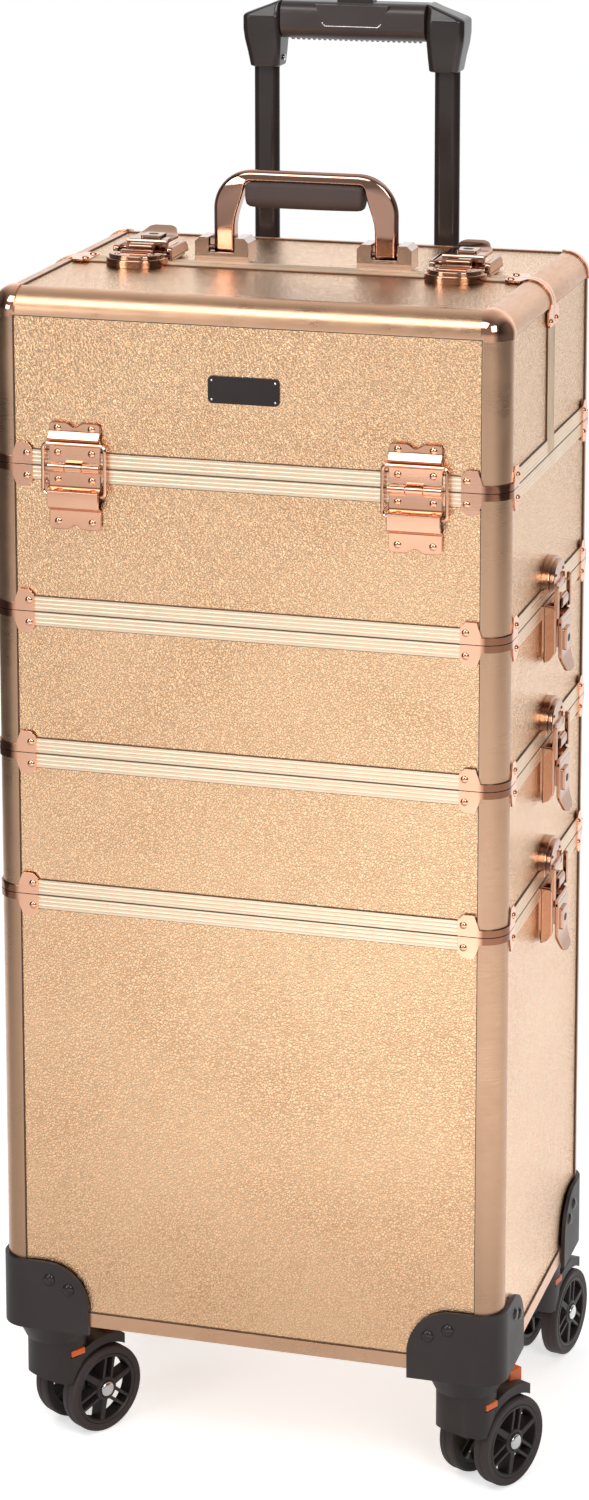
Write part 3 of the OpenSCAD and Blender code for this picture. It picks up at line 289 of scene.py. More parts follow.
def clip_metal_painted_shade():
    """Polished metal of the corner clips, darkened by painted shade where a clip bends round its post."""
    c = colours()
    f = Finish(metallic=1.0)
    axes = f.axes()
    # Painted shade on the bends of the clips.
    bend = f.math("MULTIPLY", at_posts(f, axes, FLANGE, 4.0 * MM),
                  f.math("LESS_THAN", axes["Z"], SEAM_LID + FLANGE))
    return metal(f.blend(bend, c.polish, c.bend), 0.075, 0.04, f=f)


def metal(colour, rough, scratch, f=None):
    """Metal with faint streaks, smudges and brighter worn edges."""
    f = f or Finish(metallic=1.0)
    smudge = f.noise(45.0, 4.0)
    streak = f.noise(90.0, 3.0, where=f.stretch((1.0, 1.0, 18.0)))
    shade = f.blend(f.span(smudge, 0.3, 0.7, 0.92, 1.0), (0.0, 0.0, 0.0), colour)
    shade = f.blend(f.math("MULTIPLY", f.wear(), 0.12), shade, (1.0, 0.9, 0.8))
    roughness = f.math("ADD", f.span(smudge, 0.3, 0.7, rough * 0.8, rough * 1.15),
                       f.math("MULTIPLY", f.span(streak, 0.45, 0.75), scratch))
    f.bump(streak, 0.05 * MM, 0.12)
    return f.done(shade, roughness)


def moulded(colour, rough, grain=900.0, depth=0.05, specular=0.5):
    """Moulded plastic or rubber with a fine grain, dust and rubbed edges."""
    f = Finish(specular=specular)
    fine = f.noise(grain, 2.0)
    dust = f.noise(30.0, 4.0)
    shade = f.blend(f.span(dust, 0.35, 0.75), colour, tuple(c * 1.25 + 0.003 for c in colour))
    shade = f.blend(f.math("MULTIPLY", f.wear(), 0.25), shade, tuple(c * 1.8 + 0.02 for c in colour))
    roughness = f.span(f.math("ADD", f.math("MULTIPLY", dust, 0.7), f.math("MULTIPLY", fine, 0.3)),
                       0.3, 0.7, rough * 0.85, min(1.0, rough * 1.15))
    f.bump(fine, depth * MM, 0.6)
    return f.done(shade, roughness)


FINISHES = {}


def finish(name):
    """The named finish, made on first use."""
    if name not in FINISHES:
        c = colours()
        makers = {
            "crinkle_skin": crinkle_skin,
            "satin_frame": frame_metal_painted_shade,
            "satin_rail": lambda: metal(c.rail, 0.45, 0.10),
            "panel_bead": lambda: moulded(c.joint, 0.60),
            "rose_polish": lambda: metal(c.polish, 0.075, 0.04),
            "clip_polish": clip_metal_painted_shade,
            # Painted shade: the latches take a darker copy of the fitting polish, in place of their darker
            # reflections.
            "latch_polish": lambda: metal(tone(c.polish, 0.55), 0.075, 0.04),
            # Painted shade: darker tones on the carry handle and its brackets.
            "handle_polish": lambda: metal(c.handle, 0.06, 0.03),
            "bracket_chrome": lambda: metal(c.bracket, 0.08, 0.03),
            "bright_steel": lambda: metal(c.steel, 0.20, 0.10),
            "moulded_black": lambda: moulded(c.black, 0.50),
            "wheel_rubber": lambda: moulded(tone(c.black, 1.7), 0.62, 700.0),
            "brake_orange": lambda: moulded(c.orange, 0.42),
            "tube_black": lambda: moulded(tone(c.black, 1.1), 0.22, 1400.0, 0.01, specular=0.45),
            "grip_black": lambda: moulded(tone(c.black, 1.7), 0.32, 1200.0, 0.03),
            "soft_black": lambda: moulded(tone(c.black, 3.0), 0.72, 1100.0, 0.08),
            "plate_black": lambda: moulded(tone(c.black, 0.9), 0.50, 1400.0, 0.01, specular=0.3),
        }
        FINISHES[name] = makers[name]()
        FINISHES[name].name = f"look_{name}"
    return FINISHES[name]


# Mesh tools

def seat(origin, across, along):
    """Millimetre frame: x across a fitting, y along it, z out of the case."""
    turn = Matrix((across, along, across.cross(along))).transposed().to_4x4()
    return Matrix.Translation(origin) @ turn @ Matrix.Scale(MM, 4)


def on_front(x, z):
    return seat(Vector((x, -HALF_D, z)), X, Z)


def on_rear(x, z):
    return seat(Vector((x, HALF_D, z)), -X, Z)


def on_side(side, z):
    return seat(Vector((side * HALF_W, 0, z)), Y * side, Z)


def on_top(x):
    return seat(Vector((x, 0, TOP_Z)), -X, -Y)


# Frame whose x runs along a fitting, y out of the case and z across the fitting.
SIDEWAYS = Matrix(((0, 0, 1, 0), (1, 0, 0, 0), (0, 1, 0, 0), (0, 0, 0, 1)))
# Frame whose x and y lie in a wheel and z along its axle.
WHEELWISE = Matrix(((1, 0, 0, 0), (0, 0, -1, 0), (0, 1, 0, 0), (0, 0, 0, 1)))


def skin(bm, at, rows, loop=False):
    """Faces through rows of points, each row a closed ring. The ends are capped unless the rows close too."""
    rings = [[bm.verts.new(at @ Vector(point)) for point in row] for row in rows]
    pairs = list(zip(rings, rings[1:])) + ([(rings[-1], rings[0])] if loop else [])
    for low, high in pairs:
        for i in range(len(low)):
            bm.faces.new((low[i - 1], low[i], high[i], high[i - 1]))
    if not loop:
        bm.faces.new(rings[0][::-1])
        bm.faces.new(rings[-1])


def rounded(corners, steps=5):
    """Closed outline through corners (x, y, radius), counter-clockwise."""
    outline = []
    for i, (x, y, r) in enumerate(corners):
        here = Vector((x, y))
        back = (Vector(corners[i - 1][:2]) - here).normalized()
        ahead = (Vector(corners[(i + 1) % len(corners)][:2]) - here).normalized()
        half = back.angle(ahead) / 2
        centre = here + (back + ahead).normalized() * (r / math.sin(half))
        first = here + back * (r / math.tan(half)) - centre
        turn = math.pi - 2 * half
        spin = 1 if back.x * ahead.y - back.y * ahead.x < 0 else -1
        for k in range(steps + 1):
            outline.append(centre + Matrix.Rotation(spin * turn * k / steps, 2) @ first)
    return outline


def rectangle(x0, y0, x1, y1, r, steps=5):
    return rounded(((x0, y0, r), (x1, y0, r), (x1, y1, r), (x0, y1, r)), steps)


def upright(half, low, high, under, above, steps):
    """Outline as wide to the left as to the right, with one corner radius below and another above."""
    corners = ((-half, low, under), (half, low, under), (half, high, above), (-half, high, above))
    return rounded(corners, steps)


def inset(outline, by):
    """Outline moved inwards."""
    moved = []
    for i, point in enumerate(outline):
        a = (point - outline[i - 1]).normalized()
        b = (outline[(i + 1) % len(outline)] - point).normalized()
        side = Vector((-a.y - b.y, a.x + b.x))
        moved.append(point + side * (by / max(0.3, 1 + a.dot(b))))
    return moved


def quarter(steps):
    return [math.pi / 2 * k / steps for k in range(steps + 1)]


def sweep(start, through, steps):
    """Angles from a start through a turn, given in degrees, in even steps."""
    return [math.radians(start + through * k / steps) for k in range(steps + 1)]


def slab(bm, at, outline, low, high, edge, under=False, steps=2):
    """Plate of an outline with a rounded upper rim, and a rounded lower one if under is set."""
    rims = []
    if under:
        rims += [(edge * (1 - math.sin(t)), low + edge * (1 - math.cos(t))) for t in quarter(steps)]
    else:
        rims.append((0.0, low))
    rims += [(edge * (1 - math.cos(t)), high - edge * (1 - math.sin(t))) for t in quarter(steps)]
    skin(bm, at, [[(*point, z) for point in inset(outline, by)] for by, z in rims])


def prism(bm, at, outline, low, high, edge):
    """Section drawn along and out of the case, carried across it."""
    slab(bm, at @ SIDEWAYS, outline, low, high, edge, True)


def lathe(bm, at, profile, steps=32, loop=False):
    """Rings of (radius, height) turned about z."""
    turns = [2 * math.pi * k / steps for k in range(steps)]
    skin(bm, at, [[(r * math.cos(t), r * math.sin(t), z) for t in turns] for r, z in profile], loop)


def rod(bm, at, radius, half, along, out):
    """Round bar across a fitting, with chamfered ends."""
    edge = 0.3
    lathe(bm, at @ SIDEWAYS @ Matrix.Translation((along, out, 0)),
          [(radius - edge, -half), (radius, edge - half), (radius, half - edge), (radius - edge, half)], 20)


def block(bm, at, low, high, edge=0.3, corner=0.5):
    slab(bm, at, rectangle(low[0], low[1], high[0], high[1], corner, 2), low[2], high[2], edge, True)


def wire(bm, at, path, radius, sides=10):
    """Round wire along a closed path in one plane, square to z."""
    turns = [2 * math.pi * k / sides for k in range(sides)]
    rows = []
    for i, point in enumerate(path):
        run = (path[(i + 1) % len(path)] - path[i - 1]).normalized()
        side = Vector((run.y, -run.x))
        rows.append([(*(point + side * radius * math.cos(t)), radius * math.sin(t)) for t in turns])
    skin(bm, at, rows, loop=True)


def built(maker, *inputs):
    """Mesh that a maker fills with a shape."""
    bm = bmesh.new()
    maker(bm, *inputs)
    return finished(bm)


def finished(bm):
    """Mesh with its faces turned outwards."""
    bmesh.ops.recalc_face_normals(bm, faces=bm.faces)
    mesh = bpy.data.meshes.new("piece")
    bm.to_mesh(mesh)
    bm.free()
    return mesh


def shaded(mesh, smooth):
    """Mesh with sharp creases, and elsewhere normals that follow its larger faces."""
    mesh.polygons.foreach_set("use_smooth", [True] * len(mesh.polygons))
    mesh.set_sharp_from_angle(angle=math.radians(smooth))
    obj = linked("shaded", mesh)
    obj.modifiers.new("Normals", "WEIGHTED_NORMAL").keep_sharp = True
    return evaluated(obj)


def settle(name, mesh, look, body, nodes=(), smooth=35.0):
    """Object of a finished mesh on its body, with its finish."""
    mesh = shaded(mesh, smooth)
    mesh.name = name
    mesh.materials.clear()
    mesh.materials.append(finish(look))
    obj = linked(name, mesh)
    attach(obj, body)
    if nodes:
        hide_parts(*nodes)
    return obj


def evaluated(obj):
    """Plain mesh of an object with its modifiers, in place of the object."""
    bpy.context.view_layer.update()
    mesh = bpy.data.meshes.new_from_object(obj.evaluated_get(bpy.context.evaluated_depsgraph_get()))
    old = obj.data
    bpy.data.objects.remove(obj)
    bpy.data.meshes.remove(old)
    return mesh


def linked(name, mesh):
    obj = bpy.data.objects.new(name, mesh)
    bpy.context.scene.collection.objects.link(obj)
    return obj


MERGE, FLAT_ANGLE, EDGE_ANGLE = 0.002 * MM, 0.5, 32.0


def dressed(node, body, look, edge=None, steps=2, slot=None, reshape=None):
    """A solid's own shape with softened edges and smooth curves."""
    bm = bmesh.new()
    bm.from_mesh(frame["nodes"][node].data)
    bmesh.ops.remove_doubles(bm, verts=bm.verts, dist=MERGE)
    bmesh.ops.dissolve_limit(bm, angle_limit=math.radians(FLAT_ANGLE), verts=bm.verts, edges=bm.edges)
    if reshape:
        reshape(bm)
    obj = linked(node, finished(bm))
    bevel = obj.modifiers.new("Edges", "BEVEL")
    bevel.width = edge or sizes().edge
    bevel.segments = steps
    bevel.limit_method = "ANGLE"
    bevel.angle_limit = math.radians(EDGE_ANGLE)
    return settle(f"{node}_dressed", evaluated(obj), look, body, (node,))


# Repeated forms

class GrowthTree(Nodes):
    """Geometry node tree that grows painted forms on points or lines, with some lengths as inputs."""

    def __init__(self, name, *lengths):
        super().__init__(bpy.data.node_groups.new(name, "GeometryNodeTree"))
        kinds = {"Geometry": "NodeSocketGeometry", **dict.fromkeys(lengths, "NodeSocketFloat"),
                 "Finish": "NodeSocketMaterial"}
        for label, kind in kinds.items():
            self.tree.interface.new_socket(label, in_out="INPUT", socket_type=kind)
        self.tree.interface.new_socket("Geometry", in_out="OUTPUT", socket_type="NodeSocketGeometry")
        self.given = self.node("NodeGroupInput").outputs

    def done(self, shape):
        real = self.node("GeometryNodeRealizeInstances", {"Geometry": shape}).outputs["Geometry"]
        paint = self.node("GeometryNodeSetMaterial", {"Geometry": real, "Material": self.given["Finish"]})
        self.node("NodeGroupOutput", {"Geometry": paint.outputs["Geometry"]})
        return self.tree


def rivet_tree():
    """Domed heads on points, each facing the way its point says."""
    t = GrowthTree("Rivets", "Radius", "Rise")
    dome = t.node("GeometryNodeMeshUVSphere", {"Segments": 16, "Rings": 10, "Radius": t.given["Radius"]})
    share = t.math("DIVIDE", t.given["Rise"], t.given["Radius"])
    flat = t.node("ShaderNodeCombineXYZ", {"X": 1.0, "Y": 1.0, "Z": share})
    press = t.node("GeometryNodeTransform", {"Geometry": dome.outputs["Mesh"], "Scale": flat.outputs[0]})
    ways = t.node("GeometryNodeInputNamedAttribute", {"Name": "facing"}, data_type="FLOAT_VECTOR")
    turn = t.node("FunctionNodeAlignRotationToVector", {"Vector": ways.outputs["Attribute"]})
    place = t.node("GeometryNodeInstanceOnPoints", {
        "Points": t.given["Geometry"], "Instance": press.outputs["Geometry"],
        "Rotation": turn.outputs["Rotation"]})
    return t.done(place.outputs["Instances"])


def rib_tree():
    """Round ribs along edges."""
    t = GrowthTree("Ribs", "Radius")
    line = t.node("GeometryNodeMeshToCurve", {"Mesh": t.given["Geometry"]})
    section = t.node("GeometryNodeCurvePrimitiveCircle", {"Resolution": 10, "Radius": t.given["Radius"]})
    rib = t.node("GeometryNodeCurveToMesh", {
        "Curve": line.outputs["Curve"], "Profile Curve": section.outputs["Curve"], "Fill Caps": True})
    return t.done(rib.outputs["Mesh"])


TREES = {}


def grown(name, mesh, maker, look, body, slot=None, **values):
    """Piece that a geometry node tree, made on first use, grows on a mesh of points or lines."""
    if maker not in TREES:
        TREES[maker] = maker()
    group = TREES[maker]
    obj = linked(name, mesh)
    modifier = obj.modifiers.new("Grow", "NODES")
    modifier.node_group = group
    values["Finish"] = finish(look)
    for item in group.interface.items_tree:
        if item.item_type == "SOCKET" and item.in_out == "INPUT" and item.name in values:
            modifier[item.identifier] = values[item.name]
    obj.update_tag()
    return settle(name, evaluated(obj), look, body, smooth=60.0)


def rivets(name, spots, look, body, radius=None, rise=None):
    """Rivet heads at (place, facing) pairs in metres."""
    mesh = bpy.data.meshes.new(name)
    mesh.from_pydata([place for place, way in spots], [], [])
    ways = mesh.attributes.new("facing", "FLOAT_VECTOR", "POINT")
    ways.data.foreach_set("vector", [value for place, way in spots for value in way])
    return grown(name, mesh, rivet_tree, look, body,
                 Radius=radius or sizes().rivet, Rise=rise or sizes().rivet_rise)


def ribs(name, lines, look, body, radius=None, slot=None):
    """Ribs along lines of points in metres."""
    points, edges = [], []
    for line in lines:
        edges += [(len(points) + i, len(points) + i + 1) for i in range(len(line) - 1)]
        points += line
    mesh = bpy.data.meshes.new(name)
    mesh.from_pydata(points, edges, [])
    return grown(name, mesh, rib_tree, look, body, slot, Radius=radius or sizes().rib)


def spot(at, across, along, out):
    """Place of a point of a fitting, and the way the fitting faces, in metres."""
    return at @ Vector((across, along, out)), (at.to_3x3() @ Z).normalized()


# Hinges, in millimetres: across a hinge, along it from its pin and out of the case

LEAF_HALF, LEAF_T, LEAF_FACE, LEAF_RIM = 17.3, 1.4, 1.6, 0.5
LEAF_COLUMNS = (17.3, 16.9, 16.2, 15.3, 14.3, 12.0, 9.0, 6.5, 5.2, 3.9, 2.6, 1.3, 0.0)
HINGE_OUT, PIN_R, PIN_PAST = 3.5, 1.4, 0.4
KNUCKLE_R, KNUCKLE_HALF, KNUCKLE_GAP, KNUCKLE_ROOT = 2.8, 5.6, 0.35, 4.4
RIVET_U, RIVET_SINK = 11.4, 0.2
UPPER_ROWS, LOWER_ROWS = (25.2, 9.2), (-8.2, -35.8)
UPPER_END, UPPER_DIP, LOWER_END, LOWER_DIP = 29.0, 3.0, -41.0, 2.6
# Section of a leaf from the knuckle outwards: along the leaf, out of the case.
UPPER_FOLD = ((3.4, 1.6), (16.2, 1.6), (17.2, 2.1), (17.6, 4.5), (18.3, 5.1), (19.2, 4.9), (22.6, 2.1),
              (23.6, 1.6))
LOWER_FOLD = ((-3.4, 1.6), (-12.0, 1.6), (-13.2, 2.1), (-14.5, 6.2), (-15.5, 7.0), (-25.2, 7.0), (-26.2, 6.4),
              (-28.2, 2.2), (-29.2, 1.6))
# Packings under a leaf: half width, lower and upper face, and the stretches that they fill.
PACKING_HALF, PACKING_LOW, PACKING_HIGH = 15, -1.2, 0.4
UPPER_PACKINGS, LOWER_PACKINGS = ((9.7, 25.0),), ((-12.0, -9.7), (-37.5, -29.8))
RING_HALF, RING_UP, RING_DOWN, RING_R, RING_CORNER = 20.75, 15.0, -18.0, 1.25, 3.2


def scallop(u, dip):
    """How far a leaf's end stands back at a place across it: a dip between the rivets and round corners."""
    middle, corner = 6.6, 3.0
    if abs(u) < middle:
        return dip * (1 + math.cos(math.pi * u / middle)) / 2
    over = max(0.0, abs(u) - (LEAF_HALF - corner))
    return corner - math.sqrt(max(0.0, corner ** 2 - over ** 2))


def leaf(bm, at, fold, end, dip):
    """Bent sheet of a hinge from its knuckle to its scalloped end."""
    way = 1 if end > 0 else -1
    rows = []
    for u in [-c for c in LEAF_COLUMNS] + list(reversed(LEAF_COLUMNS))[1:]:
        drop = LEAF_RIM if abs(u) == LEAF_HALF else 0.0
        tip = end - way * scallop(u, dip)
        rim = ((tip - way * LEAF_RIM, LEAF_FACE), (tip, LEAF_FACE - LEAF_RIM))
        face = [Vector((v, n - drop)) for v, n in (*fold, *rim)]
        back = []
        for i, point in enumerate(face):
            a = (point - face[i - 1]).normalized() if i else (face[1] - point).normalized()
            b = (face[i + 1] - point).normalized() if i + 1 < len(face) else a
            side = Vector((a.y + b.y, -a.x - b.x)) * way
            back.append(point + side * ((LEAF_T - drop) / max(0.5, 1 + a.dot(b))))
        rows.append([(u, *point) for point in face + back[::-1]])
    skin(bm, at, rows)


def knuckle(bm, at, low, high, way):
    """Curled end of a leaf round the hinge pin."""
    curl = [Vector((way * KNUCKLE_R * math.cos(t), HINGE_OUT + KNUCKLE_R * math.sin(t)))
            for t in sweep(20, 270, 18)]
    root = [Vector((way * KNUCKLE_ROOT, out)) for out in (0.25, LEAF_FACE - 0.05)]
    outline = root + curl
    prism(bm, at, outline if way > 0 else outline[::-1], low, high, 0.25)


def packings(bm, at, stretches):
    for low, high in stretches:
        block(bm, at, (-PACKING_HALF, low, PACKING_LOW), (PACKING_HALF, high, PACKING_HIGH))


def upper_hinge(bm, at):
    leaf(bm, at, UPPER_FOLD, UPPER_END, UPPER_DIP)
    knuckle(bm, at, -KNUCKLE_HALF, KNUCKLE_HALF, 1)
    packings(bm, at, UPPER_PACKINGS)


def lower_hinge(bm, at):
    leaf(bm, at, LOWER_FOLD, LOWER_END, LOWER_DIP)
    inner = KNUCKLE_HALF + KNUCKLE_GAP
    knuckle(bm, at, -LEAF_HALF, -inner, -1)
    knuckle(bm, at, inner, LEAF_HALF, -1)
    rod(bm, at, PIN_R, LEAF_HALF + PIN_PAST, 0.0, HINGE_OUT)
    packings(bm, at, LOWER_PACKINGS)


def stay_ring(bm, at):
    path = rectangle(-RING_HALF, RING_DOWN, RING_HALF, RING_UP, RING_CORNER, 6)
    wire(bm, at @ Matrix.Translation((0, 0, HINGE_OUT)), path, RING_R)


# Latches, in millimetres: across a latch, along it from the seam and out of the case

LATCH_HALF = 20.5
STRIKE_LOW, STRIKE_REACH, STRIKE_STEP, STRIKE_RIM, STRIKE_FACE = 7.2, 20.6, 1.9, 4.4, 7.0
# Two opposite corners of the nose on a strike, and of the packing under a tray.
STRIKE_NOSE, TRAY_PACKING = ((-11, 8.0, 6.5), (11, 12.5, 8.6)), ((-17, -36, -1.2), (17, -9.7, 0.3))
STRIKE_RIVET_U, STRIKE_RIVET_V, STRIKE_RIVET_OUT = 11.0, 17.5, 6.8
TRAY_END, TRAY_SEAM, TRAY_CORNER = -41.0, -0.6, 13.0
CHEEK_INNER = 16.6
# Sections along a latch and out of the case, with the radius of each corner.
CHEEK = rounded(((-39.0, 1.0, 0.5), (-36.5, 6.0, 4.0), (-32.0, 9.0, 5.0), (-1.2, 9.0, 2.5),
                 (-0.6, 1.0, 0.5)), 4)
ARM = rounded(((-9.0, 7.6, 0.8), (-9.0, 10.8, 1.5), (12.5, 10.8, 1.5), (14.0, 9.2, 1.0), (13.0, 7.6, 0.6)), 3)
CLAW = rounded(((-4.4, 1.5, 0.3), (-4.4, 11.4, 2.2), (2.6, 11.4, 2.2), (3.8, 9.0, 1.6), (2.0, 6.8, 1.2),
                (0.2, 8.4, 0.8), (-1.0, 8.0, 0.6), (-1.0, 1.5, 0.3)), 4)
CLAW_HALF = 8.0
LEVER_HALF, LEVER_LOW, LEVER_HIGH = 14.0, 9.5, 12.0
LEVER_ROWS = (-13.0, -14.0, -20.0, -27.0, -33.0, -35.5, -37.5, -39.5, -41.5, -43.0, -44.5, -45.6, -46.4,
              -46.9)
# Tail of a lever: where it starts to narrow, to round off and to rise, over what length, and how far.
TAPER_FROM, TAPER_OVER, TAPER_BY, END_FROM, END_OVER = -36.0, 7.0, 3.2, -43.0, 4.0
RISE_FROM, RISE_OVER, RISE_BY = -35.5, 11.5, 4.2
PIVOT_V, PIVOT_OUT, PIVOT_R, PIVOT_HALF, NOSE_R = -12.0, 6.0, 1.5, 20.3, 3.2
# Lock plate and key slot of a lever: outline, lower and upper face.
LOCK, LOCK_LOW, LOCK_HIGH = rectangle(-7.0, -33.0, 7.0, -18.5, 1.6), 11.6, 13.6
KEY, KEY_LOW, KEY_HIGH = rectangle(-3.4, -28.2, 3.4, -23.4, 2.2, 6), 13.2, 13.75


def strike(bm, at):
    """Catch plate with a stepped round rim and a raised nose that the claw hooks over."""
    outline = []
    for k in range(25):
        t = math.pi * k / 24
        outline.append(Vector((LATCH_HALF * math.copysign(abs(math.cos(t)) ** 0.8, math.cos(t)),
                               STRIKE_LOW + STRIKE_REACH * math.sin(t) ** 0.85)))
    slab(bm, at, outline, -1.0, STRIKE_RIM, 1.2, steps=3)
    slab(bm, at, inset(outline, STRIKE_STEP), 4.0, STRIKE_FACE, 1.1, steps=3)
    block(bm, at, *STRIKE_NOSE, 0.8, 1.0)


def latch_base(bm, at, arms):
    """Tray with two cheeks, rounded at its end, a claw, and if asked two arms in front of the strike."""
    slab(bm, at, upright(LATCH_HALF, TRAY_END, TRAY_SEAM, TRAY_CORNER, 1.5, 8), 0.0, 2.4, 0.7)
    block(bm, at, *TRAY_PACKING)
    for side in (-1, 1):
        low, high = sorted((side * CHEEK_INNER, side * LATCH_HALF))
        prism(bm, at, CHEEK[::-1], low, high, 0.9)
        if arms:
            prism(bm, at, ARM[::-1], low + 0.4, high - 0.4, 0.8)
    prism(bm, at, CLAW[::-1], -CLAW_HALF, CLAW_HALF, 0.5)


def lever_half(v):
    """Half width of a lever at a place along it."""
    if v > TAPER_FROM:
        return LEVER_HALF
    taper = LEVER_HALF - TAPER_BY * min(1.0, (TAPER_FROM - v) / TAPER_OVER)
    end = max(0.0, (END_FROM - v) / END_OVER)
    return taper * math.sqrt(max(0.02, 1 - end ** 2.2 * 0.72))


def lever_lift(v):
    """Rise of a lever's tail."""
    return RISE_BY * max(0.0, min(1.0, (RISE_FROM - v) / RISE_OVER)) ** 1.35


def latch_lever(bm, at):
    """Lever plate with a rolled nose at its pivot, an upturned tail and a raised lock plate."""
    rows = []
    for v in LEVER_ROWS:
        w, up = lever_half(v), lever_lift(v)
        low, high = LEVER_LOW + up, LEVER_HIGH + up
        rows.append([(-w, v, low + 0.4), (-w + 0.4, v, low), (w - 0.4, v, low), (w, v, low + 0.4),
                     (w, v, high - 0.7), (w - 0.7, v, high), (-w + 0.7, v, high), (-w, v, high - 0.7)])
    skin(bm, at, rows)
    nose = [Vector((PIVOT_V + NOSE_R * math.cos(t), PIVOT_OUT + NOSE_R * math.sin(t)))
            for t in sweep(150, 190, 14)]
    nose += [Vector(point) for point in ((-9.2, 10.4), (-10.2, 11.8), (-15.4, 11.9), (-15.4, 9.6))]
    prism(bm, at, nose, -LEVER_HALF, LEVER_HALF, 0.5)
    rod(bm, at, PIVOT_R, PIVOT_HALF, PIVOT_V, PIVOT_OUT)
    slab(bm, at, LOCK, LOCK_LOW, LOCK_HIGH, 0.6)


def keyhole(bm, at):
    """Dark key slot on a lever's lock plate."""
    slab(bm, at, KEY, KEY_LOW, KEY_HIGH, 0.2)


LATCHES = [(f"{level}_{name}", level, on_side(side, seam)) for level, seam in zip(LEVELS, SEAMS)
           for name, side in (("left", -1), ("right", 1))]
TOP_LATCHES = [(f"top_{name}", "rear_lid", on_top(JOINTS[f"top_{name}_latch"]["pos_m"][0]))
               for name in ("left", "right")]
HINGE_X = 112 * MM
HINGES = [(lid, ring, [face(side * HINGE_X, SEAM_LID) for side in (-1, 1)]) for lid, ring, face in
          (("front_lid", "front_hinge_rings", on_front), ("rear_lid", "rear_hinge_rings", on_rear))]


# Operators

RIB_ROWS, RIB_SINK, RIB_START = (2.2 * MM, 4.9 * MM, 7.6 * MM), 0.58 * MM, 0.5 * MM
GAP_SHADE_R, GAP_SHADE_SINK = 0.55 * MM, 0.9 * MM
SEAM_SINK, SEAM_DROP = 0.35 * MM, 0.45 * MM
BALL_R, BALL_LEG, BALL_SKIRT, BALL_PLAY = 15.5 * MM, 28.0 * MM, 17.5 * MM, 0.3 * MM
CLIP_EDGE, CLIP_BACK, CLIP_UP, CLIP_ASIDE, CLIP_OUT = 0.4 * MM, 25.5 * MM, 7.4 * MM, 7.8 * MM, 1.1 * MM


def facing(body):
    """Ways that a body's main faces look: front, rear or both."""
    return {"front_lid": (-1,), "rear_lid": (1,)}.get(body, (-1, 1))


def beside_corners(ways, back, z, out):
    """Places and ways of rivets on both faces at the upright corners, some way back from each corner."""
    spots = []
    for s in ways:
        for e in (-1, 1):
            spots.append((Vector((e * (HALF_W - back), s * (HALF_D + out), z)), Y * s))
            spots.append((Vector((e * (HALF_W + out), s * (HALF_D - back), z)), X * e))
    return spots


class PieceMaker:
    bl_options = {"REGISTER"}

    def execute(self, context):
        self.make()
        return {"FINISHED"}


class CASE_OT_panels(PieceMaker, bpy.types.Operator):
    """Cover the panels with the crinkled skin outside and the dark lining inside"""

    bl_idname = "makeup_case.panels"
    bl_label = "Panels"

    def make(self):
        for body in LEVELS + LIDS:
            data = frame["nodes"][f"{body}_panels"].data
            data.materials.clear()
            data.materials.append(finish("crinkle_skin"))


